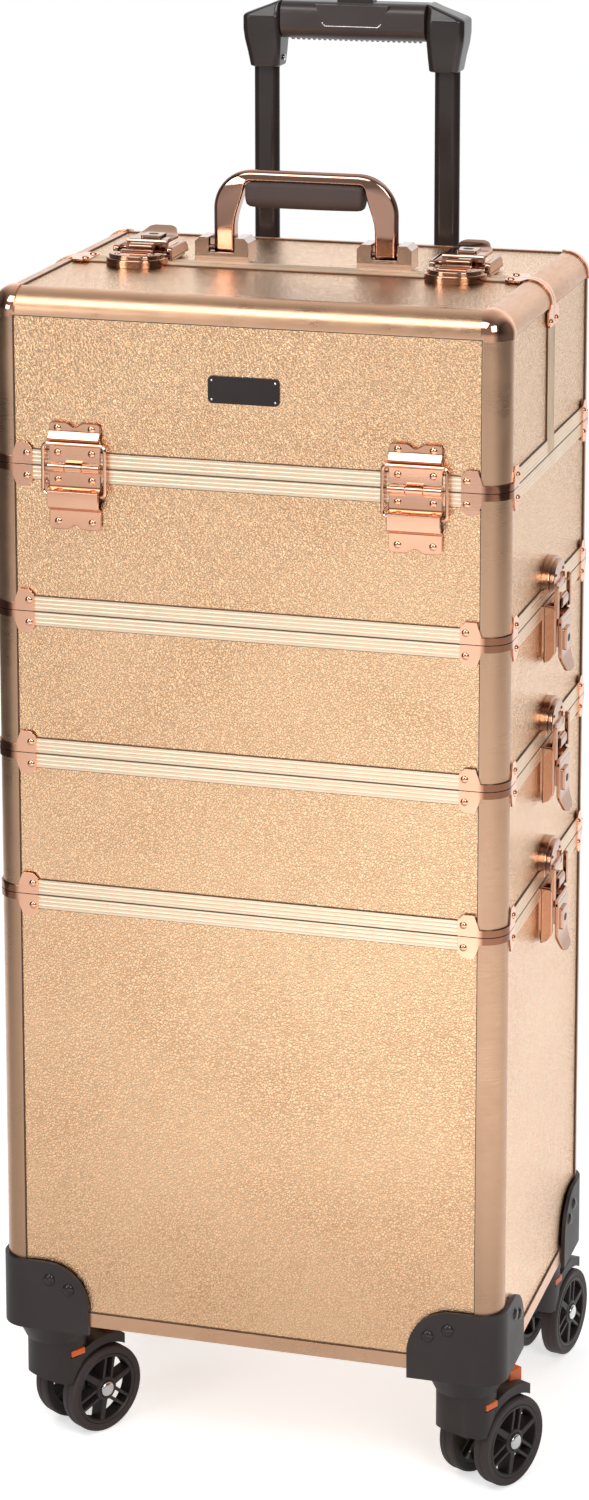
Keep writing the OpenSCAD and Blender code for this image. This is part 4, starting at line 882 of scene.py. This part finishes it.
class CASE_OT_frames(PieceMaker, bpy.types.Operator):
    """Dress the posts and rails, and run ribs along the rails and dark strips of painted shade in the gaps
    round panels and seams
    """

    bl_idname = "makeup_case.frames"
    bl_label = "Posts and rails"

    def make(self):
        seams = SEAMS + [SEAM_LID]
        for i, body in enumerate(LEVELS + LIDS):
            low = SEAM_LID if body in LIDS else seams[i - 1] if i else BASE_Z
            high = TOP_Z if body in LIDS else seams[i]
            dressed(f"{body}_frame", body, "satin_frame")
            lines = self.rail_lines(body, low, high)
            ribs(f"{body}_rail_ribs", lines, "satin_rail", body, slot="satin_frame")
            # Painted shade: dark strips in the gaps round the panels and along the seams.
            lines = self.gap_shade_lines(body, low, high)
            ribs(f"{body}_painted_gap_shades", lines, "panel_bead", body, GAP_SHADE_R, "satin_frame")

    def rail_lines(self, body, low, high):
        """Lines along the rails of a level or lid, just under the faces of the case."""
        x1, fx = HALF_W - FLANGE, HALF_W - RIB_SINK
        lines = []
        for h in RIB_ROWS:
            for z in ([low + h] if body != LEVELS[0] else []) + ([high - h] if body in LEVELS else []):
                lines += self.level_lines(body, RIB_SINK, z)
            if body in LIDS:
                y = h * facing(body)[0]
                lines += [[(e * fx, y, low + RIB_START), (e * fx, y, high - FLANGE)] for e in (-1, 1)]
                lines.append([(-x1, y, high - RIB_SINK), (x1, y, high - RIB_SINK)])
        return lines

    def gap_shade_lines(self, body, low, high):
        """Lines round the panels of a level or lid, and along a level's upper seam, for the dark strips of
        painted shade in the gaps.
        """
        x1, fx, fy = HALF_W - FLANGE, HALF_W - GAP_SHADE_SINK, HALF_D - GAP_SHADE_SINK
        z1, z2 = low + RAIL, high - (FLANGE if body in LIDS else RAIL)
        ya, yb = self.side_span(body)
        loops = [[(-x1, s * fy, z1), (x1, s * fy, z1), (x1, s * fy, z2), (-x1, s * fy, z2)]
                 for s in facing(body)]
        loops += [[(e * fx, ya, z1), (e * fx, yb, z1), (e * fx, yb, z2), (e * fx, ya, z2)]
                  for e in (-1, 1)]
        if body in LIDS:
            z = high - GAP_SHADE_SINK
            loops.append([(-x1, ya, z), (x1, ya, z), (x1, yb, z), (-x1, yb, z)])
        lines = [loop + loop[:1] for loop in loops]
        if body in LEVELS:
            lines += self.level_lines(body, SEAM_SINK, high - SEAM_DROP)
        return lines

    def level_lines(self, body, sink, z):
        """Lines at one height along the faces of a level or lid, sunk a little under them."""
        x1, fx, fy = HALF_W - FLANGE, HALF_W - sink, HALF_D - sink
        lines = [[(-x1, s * fy, z), (x1, s * fy, z)] for s in facing(body)]
        return lines + [[(e * fx, y, z) for y in self.side_span(body)] for e in (-1, 1)]

    def side_span(self, body):
        """Where the rails start and end on a side: all of it on a level, half of it on a lid."""
        y1 = HALF_D - FLANGE
        return [RAIL * facing(body)[0] if body in LIDS else -y1, y1 * facing(body)[-1]]


class CASE_OT_corners(PieceMaker, bpy.types.Operator):
    """Dress the corner clips and ball corners and set their rivets"""

    bl_idname = "makeup_case.corners"
    bl_label = "Corner clips"

    def make(self):
        look = {"look": "clip_polish", "edge": CLIP_EDGE, "slot": "rose_polish"}
        for body in LEVELS:
            dressed(f"{body}_corner_clips", body, **look)
        for body in LIDS:
            dressed(f"{body}_corners", body, reshape=self.draw_in, **look)
        for i, body in enumerate(LEVELS + LIDS):
            rivets(f"{body}_clip_rivets", self.spots(i, body), "rose_polish", body)

    def spots(self, i, body):
        """Places and ways of the rivets of a level's or a lid's clips."""
        seams = SEAMS + [SEAM_LID]
        rows = [seams[i] - CLIP_UP] if i < len(LEVELS) else []
        rows += [SEAM_LID + CLIP_UP] if body in LIDS else [seams[i - 1] + CLIP_UP] if i else []
        spots = []
        for z in rows:
            spots += beside_corners(facing(body), CLIP_BACK, z, CLIP_OUT)
        if body in LIDS:
            across = facing(body)[0] * CLIP_ASIDE
            for e in (-1, 1):
                spots.append((Vector((e * (HALF_W - CLIP_BACK), across, TOP_Z + CLIP_OUT)), Z))
                spots.append((Vector((e * (HALF_W + CLIP_OUT), across, TOP_Z - CLIP_BACK)), X * e))
        return spots

    def draw_in(self, bm):
        """Draw the three legs of a ball corner in to short skirts over the ends of the posts and edges."""
        for vert in bm.verts:
            deep = [HALF_W - abs(vert.co.x), HALF_D - abs(vert.co.y), TOP_Z - vert.co.z]
            for axis, way in enumerate((vert.co.x, vert.co.y, 1.0)):
                others = [d for k, d in enumerate(deep) if k != axis]
                if abs(deep[axis] - BALL_LEG) < BALL_PLAY and max(others) < BALL_R:
                    vert.co[axis] += math.copysign(BALL_LEG - BALL_SKIRT, way)


class CASE_OT_hinges(PieceMaker, bpy.types.Operator):
    """Make the hinge leaves with their folds, knuckles and rivets, and the wire stay rings"""

    bl_idname = "makeup_case.hinges"
    bl_label = "Hinges"

    def make(self):
        lower = bmesh.new()
        lower_spots = []
        for lid, ring, places in HINGES:
            upper, wires, spots = bmesh.new(), bmesh.new(), []
            for at in places:
                upper_hinge(upper, at)
                lower_hinge(lower, at)
                stay_ring(wires, at)
                spots += self.spots(at, UPPER_ROWS)
                lower_spots += self.spots(at, LOWER_ROWS)
            settle(f"{lid}_hinge_leaves", finished(upper), "rose_polish", lid)
            settle(f"{ring}_wire", finished(wires), "rose_polish", ring, (ring,))
            rivets(f"{lid}_hinge_rivets", spots, "rose_polish", lid)
        settle("top_case_hinge_leaves", finished(lower), "rose_polish", "top_case", ("top_case_fittings",))
        rivets("top_case_hinge_rivets", lower_spots, "rose_polish", "top_case")

    def spots(self, at, rows):
        """Places and ways of the rivets of a hinge leaf."""
        return [spot(at, u, v, LEAF_FACE - RIVET_SINK) for v in rows for u in (-RIVET_U, RIVET_U)]


class CASE_OT_latches(PieceMaker, bpy.types.Operator):
    """Make the draw latches: strikes, bases with claws, and levers with locks"""

    bl_idname = "makeup_case.latches"
    bl_label = "Latches"

    def make(self):
        strikes = {body: bmesh.new() for body in LEVELS[1:] + ("front_lid",)}
        bases = {body: bmesh.new() for body in LEVELS[:3] + ("rear_lid",)}
        above = dict(zip(LEVELS, LEVELS[1:]), rear_lid="front_lid")
        spots = {body: [] for body in strikes}
        for name, body, at in LATCHES + TOP_LATCHES:
            strike(strikes[above[body]], at)
            spots[above[body]] += [spot(at, u, STRIKE_RIVET_V, STRIKE_RIVET_OUT)
                                   for u in (-STRIKE_RIVET_U, STRIKE_RIVET_U)]
            latch_base(bases[body], at, body in LEVELS)
            lever = f"{name}_latch_lever"
            self.place(f"{lever}_plate", built(latch_lever, at), lever, (lever,))
            settle(f"{lever}_keyhole", built(keyhole, at), "plate_black", lever)
        nodes = {"lower_tray": ("lower_tray_latch_plates",), "upper_tray": ("upper_tray_latch_plates",),
                 "front_lid": ("front_lid_fittings",)}
        for body, bm in strikes.items():
            self.place(f"{body}_strikes", finished(bm), body, nodes.get(body, ()))
            rivets(f"{body}_strike_rivets", spots[body], "rose_polish", body, radius=2.2 * MM, rise=1.0 * MM)
        nodes = {"base": ("base_latch_bases",), "rear_lid": ("rear_lid_fittings",)}
        for body, bm in bases.items():
            self.place(f"{body}_latch_trays", finished(bm), body, nodes.get(body, ()))

    def place(self, name, mesh, body, nodes):
        settle(name, mesh, "latch_polish", body, nodes)


# Carry handle

HANDLE_PIVOT = Vector(JOINTS["carry_handle_fold"]["pos_m"])
HANDLE_R, HANDLE_INNER_R, HANDLE_LEG, HANDLE_BAR, HANDLE_SWELL, HANDLE_LEAN = 27.0, 4.0, 15.0, 7.5, 7.0, 2.2
HANDLE_INNER_EDGE, HANDLE_OUTER_EDGE = 1.6, 4.2
# Round feet of the arch: place of each row under the leg, and the share of the leg's depth that it keeps.
HANDLE_FEET = ((-2.2, 0.92), (-4.2, 0.65), (-5.3, 0.27))
# Drawn-in ends of the soft grip: distance of each row from the end, and its share of the full section.
SOFT_ENDS = ((0.0, 0.70), (0.6, 0.84), (2.0, 0.93), (4.5, 0.965), (12.0, 0.985), (26.0, 1.0))
SOFT_UNDER, SOFT_ABOVE = 7.5, 2.5


def smooth(share):
    """Nought up to a third of the way, one at the end, with a soft start and end."""
    t = max(0.0, min(1.0, 1.5 * share - 0.5))
    return t * t * (3 - 2 * t)


def about_pivot(node):
    """Box of a solid of the carry handle, in millimetres from the handle's pivot."""
    return [(corner - HANDLE_PIVOT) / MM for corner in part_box(node)]


def arch(half, rise, r, count):
    """Points up one leg and round to the other, seen from the front, evenly apart on each stretch."""
    left = [Vector((-half, (rise - r) * k / count)) for k in range(count)]
    turn = [Vector((-half + r - r * math.cos(t), rise - r + r * math.sin(t))) for t in quarter(2 * count)]
    half_way = left + turn + [Vector((-(half - r) * (1 - k / count), rise)) for k in range(1, count + 1)]
    return half_way + [Vector((-p.x, p.y)) for p in half_way[-2::-1]]


class CASE_OT_carry_handle(PieceMaker, bpy.types.Operator):
    """Make the carry handle's arch, its soft grip and its brackets"""

    bl_idname = "makeup_case.carry_handle"
    bl_label = "Carry handle"

    def make(self):
        at = seat(HANDLE_PIVOT, X, Z)
        settle("carry_handle_arch", built(self.arch, at), "handle_polish", "carry_handle",
               ("carry_handle",), 40.0)
        grip = settle("carry_handle_soft_grip", built(self.grip, at), "soft_black", "carry_handle",
                      ("carry_handle_grip",), 50)
        dressed("handle_brackets", "rear_lid", "bracket_chrome", 0.7 * MM, 3, slot="rose_polish")

    def arch(self, bm, at):
        """Cast arch, rounder outside than inside, with round eyes at its feet."""
        count = 8
        low, high = about_pivot("carry_handle")
        outer = arch(high.x, high.z, HANDLE_R, count)
        inner = arch(high.x - HANDLE_LEG, high.z - HANDLE_BAR, HANDLE_INNER_R, count)
        for point in inner:
            point.x *= 1 - HANDLE_SWELL / (high.x - HANDLE_LEG) * smooth(point.y / (high.z - HANDLE_BAR))
        half = (high.y - low.y) / 2
        back = half - HANDLE_LEAN
        rows = []
        for start, end in zip(inner, outer):
            run = end - start
            thick = run.length
            run.normalize()
            section = rounded(((0, half, HANDLE_INNER_EDGE), (0, -half, HANDLE_INNER_EDGE),
                               (thick, -back, HANDLE_OUTER_EDGE), (thick, back, HANDLE_OUTER_EDGE)), 6)
            rows.append([(start.x + run.x * a, start.y + run.y * a, b) for a, b in section])
        first, last = ([[(x, y + down, z * share) for x, y, z in row] for down, share in HANDLE_FEET]
                       for row in (rows[0], rows[-1]))
        skin(bm, at, first[::-1] + rows + last)

    def grip(self, bm, at):
        """Moulded soft grip under the bar: flat above, round below, drawn in at its ends."""
        low, high = about_pivot("carry_handle_grip")
        deep, middle = high.y, low.z * 0.4 + high.z * 0.6
        rows = [(low.x + far, share) for far, share in SOFT_ENDS]
        rows += [(high.x - far, share) for far, share in SOFT_ENDS[::-1]]
        section = upright(deep, low.z, high.z, SOFT_UNDER, SOFT_ABOVE, 8)
        skin(bm, at, [[(x, middle + (p.y - middle) * share, p.x * share) for p in section]
                      for x, share in rows])


PLATE_CORNER, PLATE_RIM, PLATE_PIN = 3.0, 1.6, 2.6


class CASE_OT_name_plate(PieceMaker, bpy.types.Operator):
    """Make the bare name plate with its raised middle and its pins"""

    bl_idname = "makeup_case.name_plate"
    bl_label = "Name plate"

    def make(self):
        low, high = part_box("name_plate")
        middle = (low + high) / 2
        at = on_front(middle.x, middle.z)
        w, h = (high.x - low.x) / 2 / MM, (high.z - low.z) / 2 / MM
        settle("name_plate_bare", built(self.plate, at, w, h), "plate_black", "front_lid", ("name_plate",))
        spots = [spot(at, e * (w - PLATE_PIN), s * (h - PLATE_PIN), 0.3) for e in (-1, 1) for s in (-1, 1)]
        rivets("name_plate_pins", spots, "bright_steel", "front_lid", radius=0.8 * MM, rise=0.35 * MM)

    def plate(self, bm, at, w, h):
        slab(bm, at, rectangle(-w, -h, w, h, PLATE_CORNER), -1.2, 0.1, 0.5)
        w, h = w - PLATE_RIM, h - PLATE_RIM
        slab(bm, at, rectangle(-w, -h, w, h, 1.8), 0.0, 0.35, 0.2)


# Trolley handle

GRIP_DEEP, GRIP_H, GRIP_UNDER, GRIP_ABOVE = 14.5, 27.0, 10.0, 8.0
# Rows of the grip's middle: place across, and share of the full section.
BAR_ROWS = ((-51.0, 0.93), (-50.6, 0.97), (-40.0, 0.975), (0.0, 0.985), (40.0, 0.975), (50.6, 0.97),
            (51.0, 0.93))
# Levels of an end cap: height, inner and outer end, half depth.
CAP_ROWS = ((-46.0, 53.4, 73.0, 11.4), (-45.2, 52.8, 73.6, 12.0), (-36.0, 52.0, 75.2, 13.0),
            (-27.0, 51.4, 77.2, 14.0), (-20.0, 51.3, 78.0, 14.5), (-11.6, 51.3, 78.0, 14.5),
            (-10.2, 51.3, 77.4, 14.1), (-9.0, 51.3, 75.6, 13.2), (-6.0, 51.3, 68.0, 12.0),
            (-3.0, 51.3, 60.0, 10.8), (-0.8, 51.3, 54.4, 9.6), (-0.2, 51.4, 53.0, 8.8))
# Outline of the inlay on the grip's front and back, from its upper left corner round to its upper right one.
INLAY = ((-26.0, -1.8), (-21.0, -14.0), (-18.5, -16.4), (18.5, -16.4), (21.0, -14.0), (26.0, -1.8))
INLAY_OUT, INLAY_DEEP = GRIP_DEEP - 0.1, 4.4
FINGER_RIBS, FINGER_SPAN, FINGER_R, FINGER_IN = 25, 90.0, 9.0, 4.2
SCREW_X, SCREW_Z = 51.6, -40.5


class CASE_OT_trolley(PieceMaker, bpy.types.Operator):
    """Make the trolley handle's tubes, moulded grip, end caps, button and screws"""

    bl_idname = "makeup_case.trolley"
    bl_label = "Trolley handle"

    def make(self):
        dressed("trolley_outer_tubes", "base", "tube_black", 0.6 * MM)
        dressed("trolley_middle_tubes", "trolley_middle", "tube_black", 0.3 * MM)
        dressed("trolley_inner_tubes", "trolley_inner", "tube_black", 0.3 * MM)
        low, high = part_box("trolley_grip")
        at = seat(Vector((0, (low.y + high.y) / 2, high.z)), X, Z)
        faces = [at @ Matrix.Rotation(turn, 4, "Y") for turn in (0.0, math.pi)]
        settle("trolley_grip_bar", built(self.bar, at, faces), "grip_black", "trolley_inner",
               ("trolley_grip",), 45)
        settle("trolley_grip_caps", built(self.caps, at), "tube_black", "trolley_inner", (), 45)
        dressed("trolley_button", "trolley_button", "tube_black", 1.0 * MM, 3)
        ribs("trolley_grip_ribs", self.finger_lines(at), "grip_black", "trolley_inner", 1.0 * MM)
        lip = [[face @ Vector((*point, INLAY_OUT)) for point in INLAY[1:5]] for face in faces]
        ribs("trolley_grip_lips", lip, "bright_steel", "trolley_inner", 0.45 * MM, "grip_black")
        spots = [(at @ Vector((side * SCREW_X, SCREW_Z, 0.0)), -X * side) for side in (-1, 1)]
        rivets("trolley_grip_screws", spots, "bright_steel", "trolley_inner", radius=2.2 * MM, rise=0.9 * MM)

    def bar(self, bm, at, faces):
        """Middle of the grip, a little slimmer than its ends, with inlaid panels front and back."""
        rows = []
        for x, share in BAR_ROWS:
            section = upright(GRIP_DEEP * share, -GRIP_H * share, -0.4, GRIP_UNDER, GRIP_ABOVE, 7)
            rows.append([(x, p.y, p.x) for p in section])
        skin(bm, at, rows)
        for face in faces:
            slab(bm, face, [Vector(point) for point in INLAY], INLAY_OUT - INLAY_DEEP, INLAY_OUT, 0.5)

    def caps(self, bm, at):
        """End caps: blocks that slope down to their ends and narrow to the tubes' sockets."""
        for side in (-1, 1):
            rows = []
            for z, inner, outer, deep in CAP_ROWS:
                section = rectangle(inner, -deep, outer, deep, min(5.0, (outer - inner) / 2 - 0.1), 5)
                rows.append([(side * p.x, z, p.y) for p in section])
            skin(bm, at, rows)

    def finger_lines(self, at):
        """Arcs under the grip for its finger ribs."""
        lines = []
        for k in range(FINGER_RIBS):
            x = -FINGER_SPAN / 2 + FINGER_SPAN * k / (FINGER_RIBS - 1)
            lines.append([at @ Vector((x + 1.2 * math.cos(t), -GRIP_H + FINGER_R + FINGER_R * math.sin(t),
                                       (GRIP_DEEP - FINGER_IN) * math.cos(t))) for t in sweep(200, 140, 10)])
        return lines


# Running gear

def caster_seats(place):
    """Millimetre frames of a caster, under its stem on the floor and at its axle: x to the axle, z up."""
    stem, hub = (Vector(JOINTS[f"{place}_{motion}"]["pos_m"]) for motion in ("swivel", "roll"))
    away = Vector((hub.x - stem.x, hub.y - stem.y, 0)).normalized()
    along = Z.cross(away)
    return seat(Vector((stem.x, stem.y, 0)), away, along), seat(hub, away, along)


PEDAL_ROWS, PEDAL_TREAD, PEDAL_TOP = (34.6, 37.8, 41.0), 8.5, 73.2
# Sections of a wheel as (radius, place along the axle).
TYRE = ((24.6, 9.4), (28.4, 8.7), (29.6, 9.5), (30.0, 10.8), (30.0, 13.6), (29.6, 14.0), (29.6, 15.2),
        (30.0, 15.6), (30.0, 18.4), (29.6, 19.7), (28.4, 20.5), (24.6, 20.0))
RIM = ((24.7, 9.9), (24.7, 19.5), (23.9, 20.3), (22.6, 20.3), (21.8, 19.5), (21.8, 10.2), (22.6, 9.4))
HUB = ((3.1, 8.8), (8.2, 8.8), (8.6, 9.4), (8.6, 18.8), (8.0, 20.0), (6.4, 20.3), (5.7, 19.5), (3.1, 19.5))
AXLE_CAP = ((5.2, 19.2), (5.2, 20.9), (4.9, 21.5), (4.1, 22.0), (2.6, 22.3), (0.9, 22.4))
AXLE = ((3.0, -20.0), (3.0, 20.0))
# Section of a swivel stem as (radius, height over the floor).
STEM = ((4.8, 69.4), (5.0, 69.8), (5.0, 91.6), (4.6, 92.0))
SPOKE_END = 22.6
SINGLE_SPOKE = rounded(((7.8, -2.4, 0.4), (SPOKE_END, -1.9, 0.4), (SPOKE_END, 1.9, 0.4), (7.8, 2.4, 0.4)), 2)
DOUBLE_SPOKE = [rectangle(7.0, low, SPOKE_END, high, 0.4, 2) for low, high in ((-4.5, -2.3), (2.3, 4.5))]


def wheel(tyre, rim, at):
    """Wheel with a separate tyre, three single spokes and three double ones."""
    lathe(tyre, at, TYRE, 56, True)
    lathe(rim, at, RIM, 56, True)
    lathe(rim, at, HUB, 40, True)
    for k in range(3):
        single = at @ Matrix.Rotation(math.radians(120 * k + 20), 4, "Z")
        slab(rim, single, SINGLE_SPOKE, 9.7, 19.7, 0.6, True)
        double = at @ Matrix.Rotation(math.radians(120 * k + 80), 4, "Z")
        for outline in DOUBLE_SPOKE:
            slab(rim, double, outline, 10.2, 19.5, 0.5, True)


# Rivets of a corner guard: how far back from the corner and up from the case's lower edge, and how far out.
GUARD_RIVETS, GUARD_OUT = ((33.7 * MM, 31.0 * MM), (47.0 * MM, 25.4 * MM)), 2.4 * MM


class CASE_OT_guards(PieceMaker, bpy.types.Operator):
    """Dress the moulded corner guards and set their rivets"""

    bl_idname = "makeup_case.guards"
    bl_label = "Corner guards"

    def make(self):
        dressed("base_corner_guards", "base", "moulded_black", 0.9 * MM, 3)
        spots = []
        for back, up in GUARD_RIVETS:
            spots += beside_corners((-1, 1), back, BASE_Z + up, GUARD_OUT)
        rivets("guard_rivets", spots, "tube_black", "base", radius=4.3 * MM, rise=2.2 * MM)


class CASE_OT_casters(PieceMaker, bpy.types.Operator):
    """Make the casters: housings, axles with caps, spoked wheels with tyres, and brakes"""

    bl_idname = "makeup_case.casters"
    bl_label = "Casters"

    def make(self):
        for place in PLACES:
            at, hub = caster_seats(place)
            dressed(f"{place}_caster_housing", f"{place}_caster", "moulded_black", 0.8 * MM)
            brake = f"{place}_brake"
            dressed(brake, brake, "brake_orange", 0.9 * MM, 3)
            treads = [[at @ Vector((x, y, PEDAL_TOP)) for y in (-PEDAL_TREAD, PEDAL_TREAD)]
                      for x in PEDAL_ROWS]
            ribs(f"{brake}_treads", treads, "brake_orange", brake, 0.8 * MM)
            tyre, rim, steel = bmesh.new(), bmesh.new(), bmesh.new()
            for turn in (0.0, math.pi):
                side = hub @ Matrix.Rotation(turn, 4, "Z") @ WHEELWISE
                wheel(tyre, rim, side)
                lathe(steel, side, AXLE_CAP, 32)
            lathe(steel, hub @ WHEELWISE, AXLE, 24)
            lathe(steel, at, STEM, 24)
            wheels = f"{place}_wheels"
            settle(f"{place}_tyres", finished(tyre), "wheel_rubber", wheels, (wheels,))
            settle(f"{place}_wheel_rims", finished(rim), "moulded_black", wheels)
            settle(f"{place}_axle_caps", finished(steel), "bright_steel", f"{place}_caster",
                   (f"{place}_caster_axle",))


# Studio, in metres and watts

CAMERA_PLACE, CAMERA_TURN = (0.6897, -2.3750, 1.2327), (79.428, 0.054, 16.243)
CAMERA_LENS, CAMERA_SENSOR, CAMERA_SHIFT = 92.14, 36.0, -0.30
# Softboxes: name, place, width, height, power. All face the middle of the case.
LAMPS = (("left_softbox", (-1.6, -2.5, 1.35), 0.7, 0.7, 13.0),
         ("right_softbox", (1.5, -2.3, 2.3), 1.1, 1.3, 40.0),
         ("top_softbox", (-0.55, -1.4, 2.3), 1.5, 0.9, 20.0))
LAMP_AIM = Vector((0, 0, 0.45))
FLOOR_CORNERS = ((-1.1, -2.7), (2.6, -2.7), (2.6, 2.4), (-1.4, 2.4))
FLOOR_DROP = 0.2 * MM
FLOOR_TONES = ((0.78, 0.78, 0.78), (0.81, 0.81, 0.81))


class CASE_OT_stage(PieceMaker, bpy.types.Operator):
    """Set the floor, the studio light and the camera"""

    bl_idname = "makeup_case.stage"
    bl_label = "Stage"

    def make(self):
        scene = bpy.context.scene
        scene.view_settings.view_transform = "Standard"
        self.floor()
        self.world(scene)
        for name, place, wide, tall, power in LAMPS:
            light = bpy.data.lights.new(name, "AREA")
            light.shape = "RECTANGLE"
            light.size = wide
            light.size_y = tall
            light.energy = power
            lamp = linked(name, light)
            lamp.location = place
            lamp.rotation_euler = (LAMP_AIM - Vector(place)).to_track_quat("-Z", "Y").to_euler()
        data = bpy.data.cameras.new("camera")
        data.sensor_width = CAMERA_SENSOR
        data.lens = CAMERA_LENS
        data.shift_y = CAMERA_SHIFT
        data.clip_end = 50.0
        camera = linked("camera", data)
        camera.location = CAMERA_PLACE
        camera.rotation_euler = [math.radians(angle) for angle in CAMERA_TURN]
        scene.camera = camera

    def floor(self):
        """Pale paper floor that ends well in front of the object and behind it, shows as near white, and glows
        with painted light in the metal's reflections.
        """
        bm = bmesh.new()
        bm.faces.new([bm.verts.new((x, y, 0.0)) for x, y in FLOOR_CORNERS])
        floor = linked("floor", finished(bm))
        f = Finish()
        path = f.node("ShaderNodeLightPath").outputs
        # Painted light: the floor glows in reflections, shaped by place, and evenly white to the camera.
        mirrored = f.math("MAXIMUM", path["Is Glossy Ray"], path["Is Transmission Ray"])
        glow = f.math("ADD", f.math("MULTIPLY", path["Is Camera Ray"], 0.60),
                      f.math("MULTIPLY", mirrored, self.painted_floor_glow(f)))
        f.link(glow, f.shader.inputs["Emission Strength"])
        f.shader.inputs["Emission Color"].default_value = (1, 1, 1, 1)
        speck = f.noise(40.0, 4.0)
        tint = f.blend(f.span(speck, 0.3, 0.7), *FLOOR_TONES)
        floor.data.materials.append(f.done(tint, f.span(speck, 0.3, 0.7, 0.75, 0.85)))
        floor.location.z = CAD_BOX[0][2] - FLOOR_DROP

    def painted_floor_glow(self, f):
        """Painted light: glow of the floor in the metal, a band in front that fades to the left, and even
        behind.
        """
        axes = f.axes()
        away = f.node("ShaderNodeVectorMath", {0: f.where}, operation="LENGTH").outputs["Value"]
        ahead = f.math("SUBTRACT", f.span(away, 0.45, 0.88, 0.0, 1.13), f.span(away, 0.9, 1.7, 0.0, 0.59))
        aside = f.math("MULTIPLY_ADD", axes["Y"], -0.35, axes["X"])
        ahead = f.math("MULTIPLY", ahead, f.span(aside, -0.20, 0.25))
        behind = f.span(axes["Y"], -0.15, 0.15)
        ahead = f.math("MULTIPLY", ahead, f.math("SUBTRACT", 1.0, behind))
        return f.math("ADD", ahead, f.math("MULTIPLY", behind, 0.68))

    def world(self, scene):
        """White to the camera and behind the object, dimmer overhead, aside and on the camera's side."""
        scene.world = bpy.data.worlds.new("studio")
        scene.world.use_nodes = True
        n = Nodes(scene.world.node_tree)
        way = n.node("ShaderNodeSeparateXYZ", {0: n.node("ShaderNodeTexCoord").outputs["Generated"]}).outputs
        level = n.span(n.math("ABSOLUTE", way["X"]), 0.40, 0.75, 1.0, 0.15)
        behind = n.span(way["Y"], -0.4, 0.4)
        ahead = n.span(way["Z"], -0.05, 0.15, 0.76, 0.22)
        ahead = n.math("MULTIPLY", ahead, n.math("SUBTRACT", 1.0, behind))
        level = n.math("MULTIPLY", level, n.math("ADD", behind, ahead))
        level = n.math("MULTIPLY", level, n.span(way["Z"], 0.02, 0.16, 1.0, 1.2))
        level = n.math("MULTIPLY", level, n.span(way["Z"], 0.45, 0.90, 1.0, 0.55))
        seen = n.node("ShaderNodeLightPath").outputs["Is Camera Ray"]
        level = n.math("ADD", seen, n.math("MULTIPLY", level, n.math("SUBTRACT", 1.0, seen)))
        sky = n.tree.nodes["Background"]
        sky.inputs["Color"].default_value = (1, 1, 1, 1)
        n.link(level, sky.inputs["Strength"])


class CASE_PT_pieces(bpy.types.Panel):
    bl_label = "Makeup Case"
    bl_idname = "CASE_PT_pieces"
    bl_space_type = "VIEW_3D"
    bl_region_type = "UI"
    bl_category = "Makeup Case"

    def draw(self, context):
        for operator in OPERATORS:
            self.layout.operator(operator.bl_idname)


OPERATORS = (CASE_OT_panels, CASE_OT_frames, CASE_OT_corners, CASE_OT_hinges, CASE_OT_latches,
             CASE_OT_carry_handle, CASE_OT_name_plate, CASE_OT_trolley, CASE_OT_guards, CASE_OT_casters,
             CASE_OT_stage)
GROUPS = {"case_sizes": CaseSizes, "case_colours": CaseColours}


def register():
    for item in (*GROUPS.values(), *OPERATORS, CASE_PT_pieces):
        bpy.utils.register_class(item)
    for name, group in GROUPS.items():
        setattr(bpy.types.Scene, name, PointerProperty(type=group))


def unregister():
    for name in GROUPS:
        delattr(bpy.types.Scene, name)
    for item in (CASE_PT_pieces, *reversed(OPERATORS), *GROUPS.values()):
        bpy.utils.unregister_class(item)


def main():
    register()
    for operator in OPERATORS:
        group, name = operator.bl_idname.split(".")
        getattr(getattr(bpy.ops, group), name)()


if __name__ == "__main__":
    main()
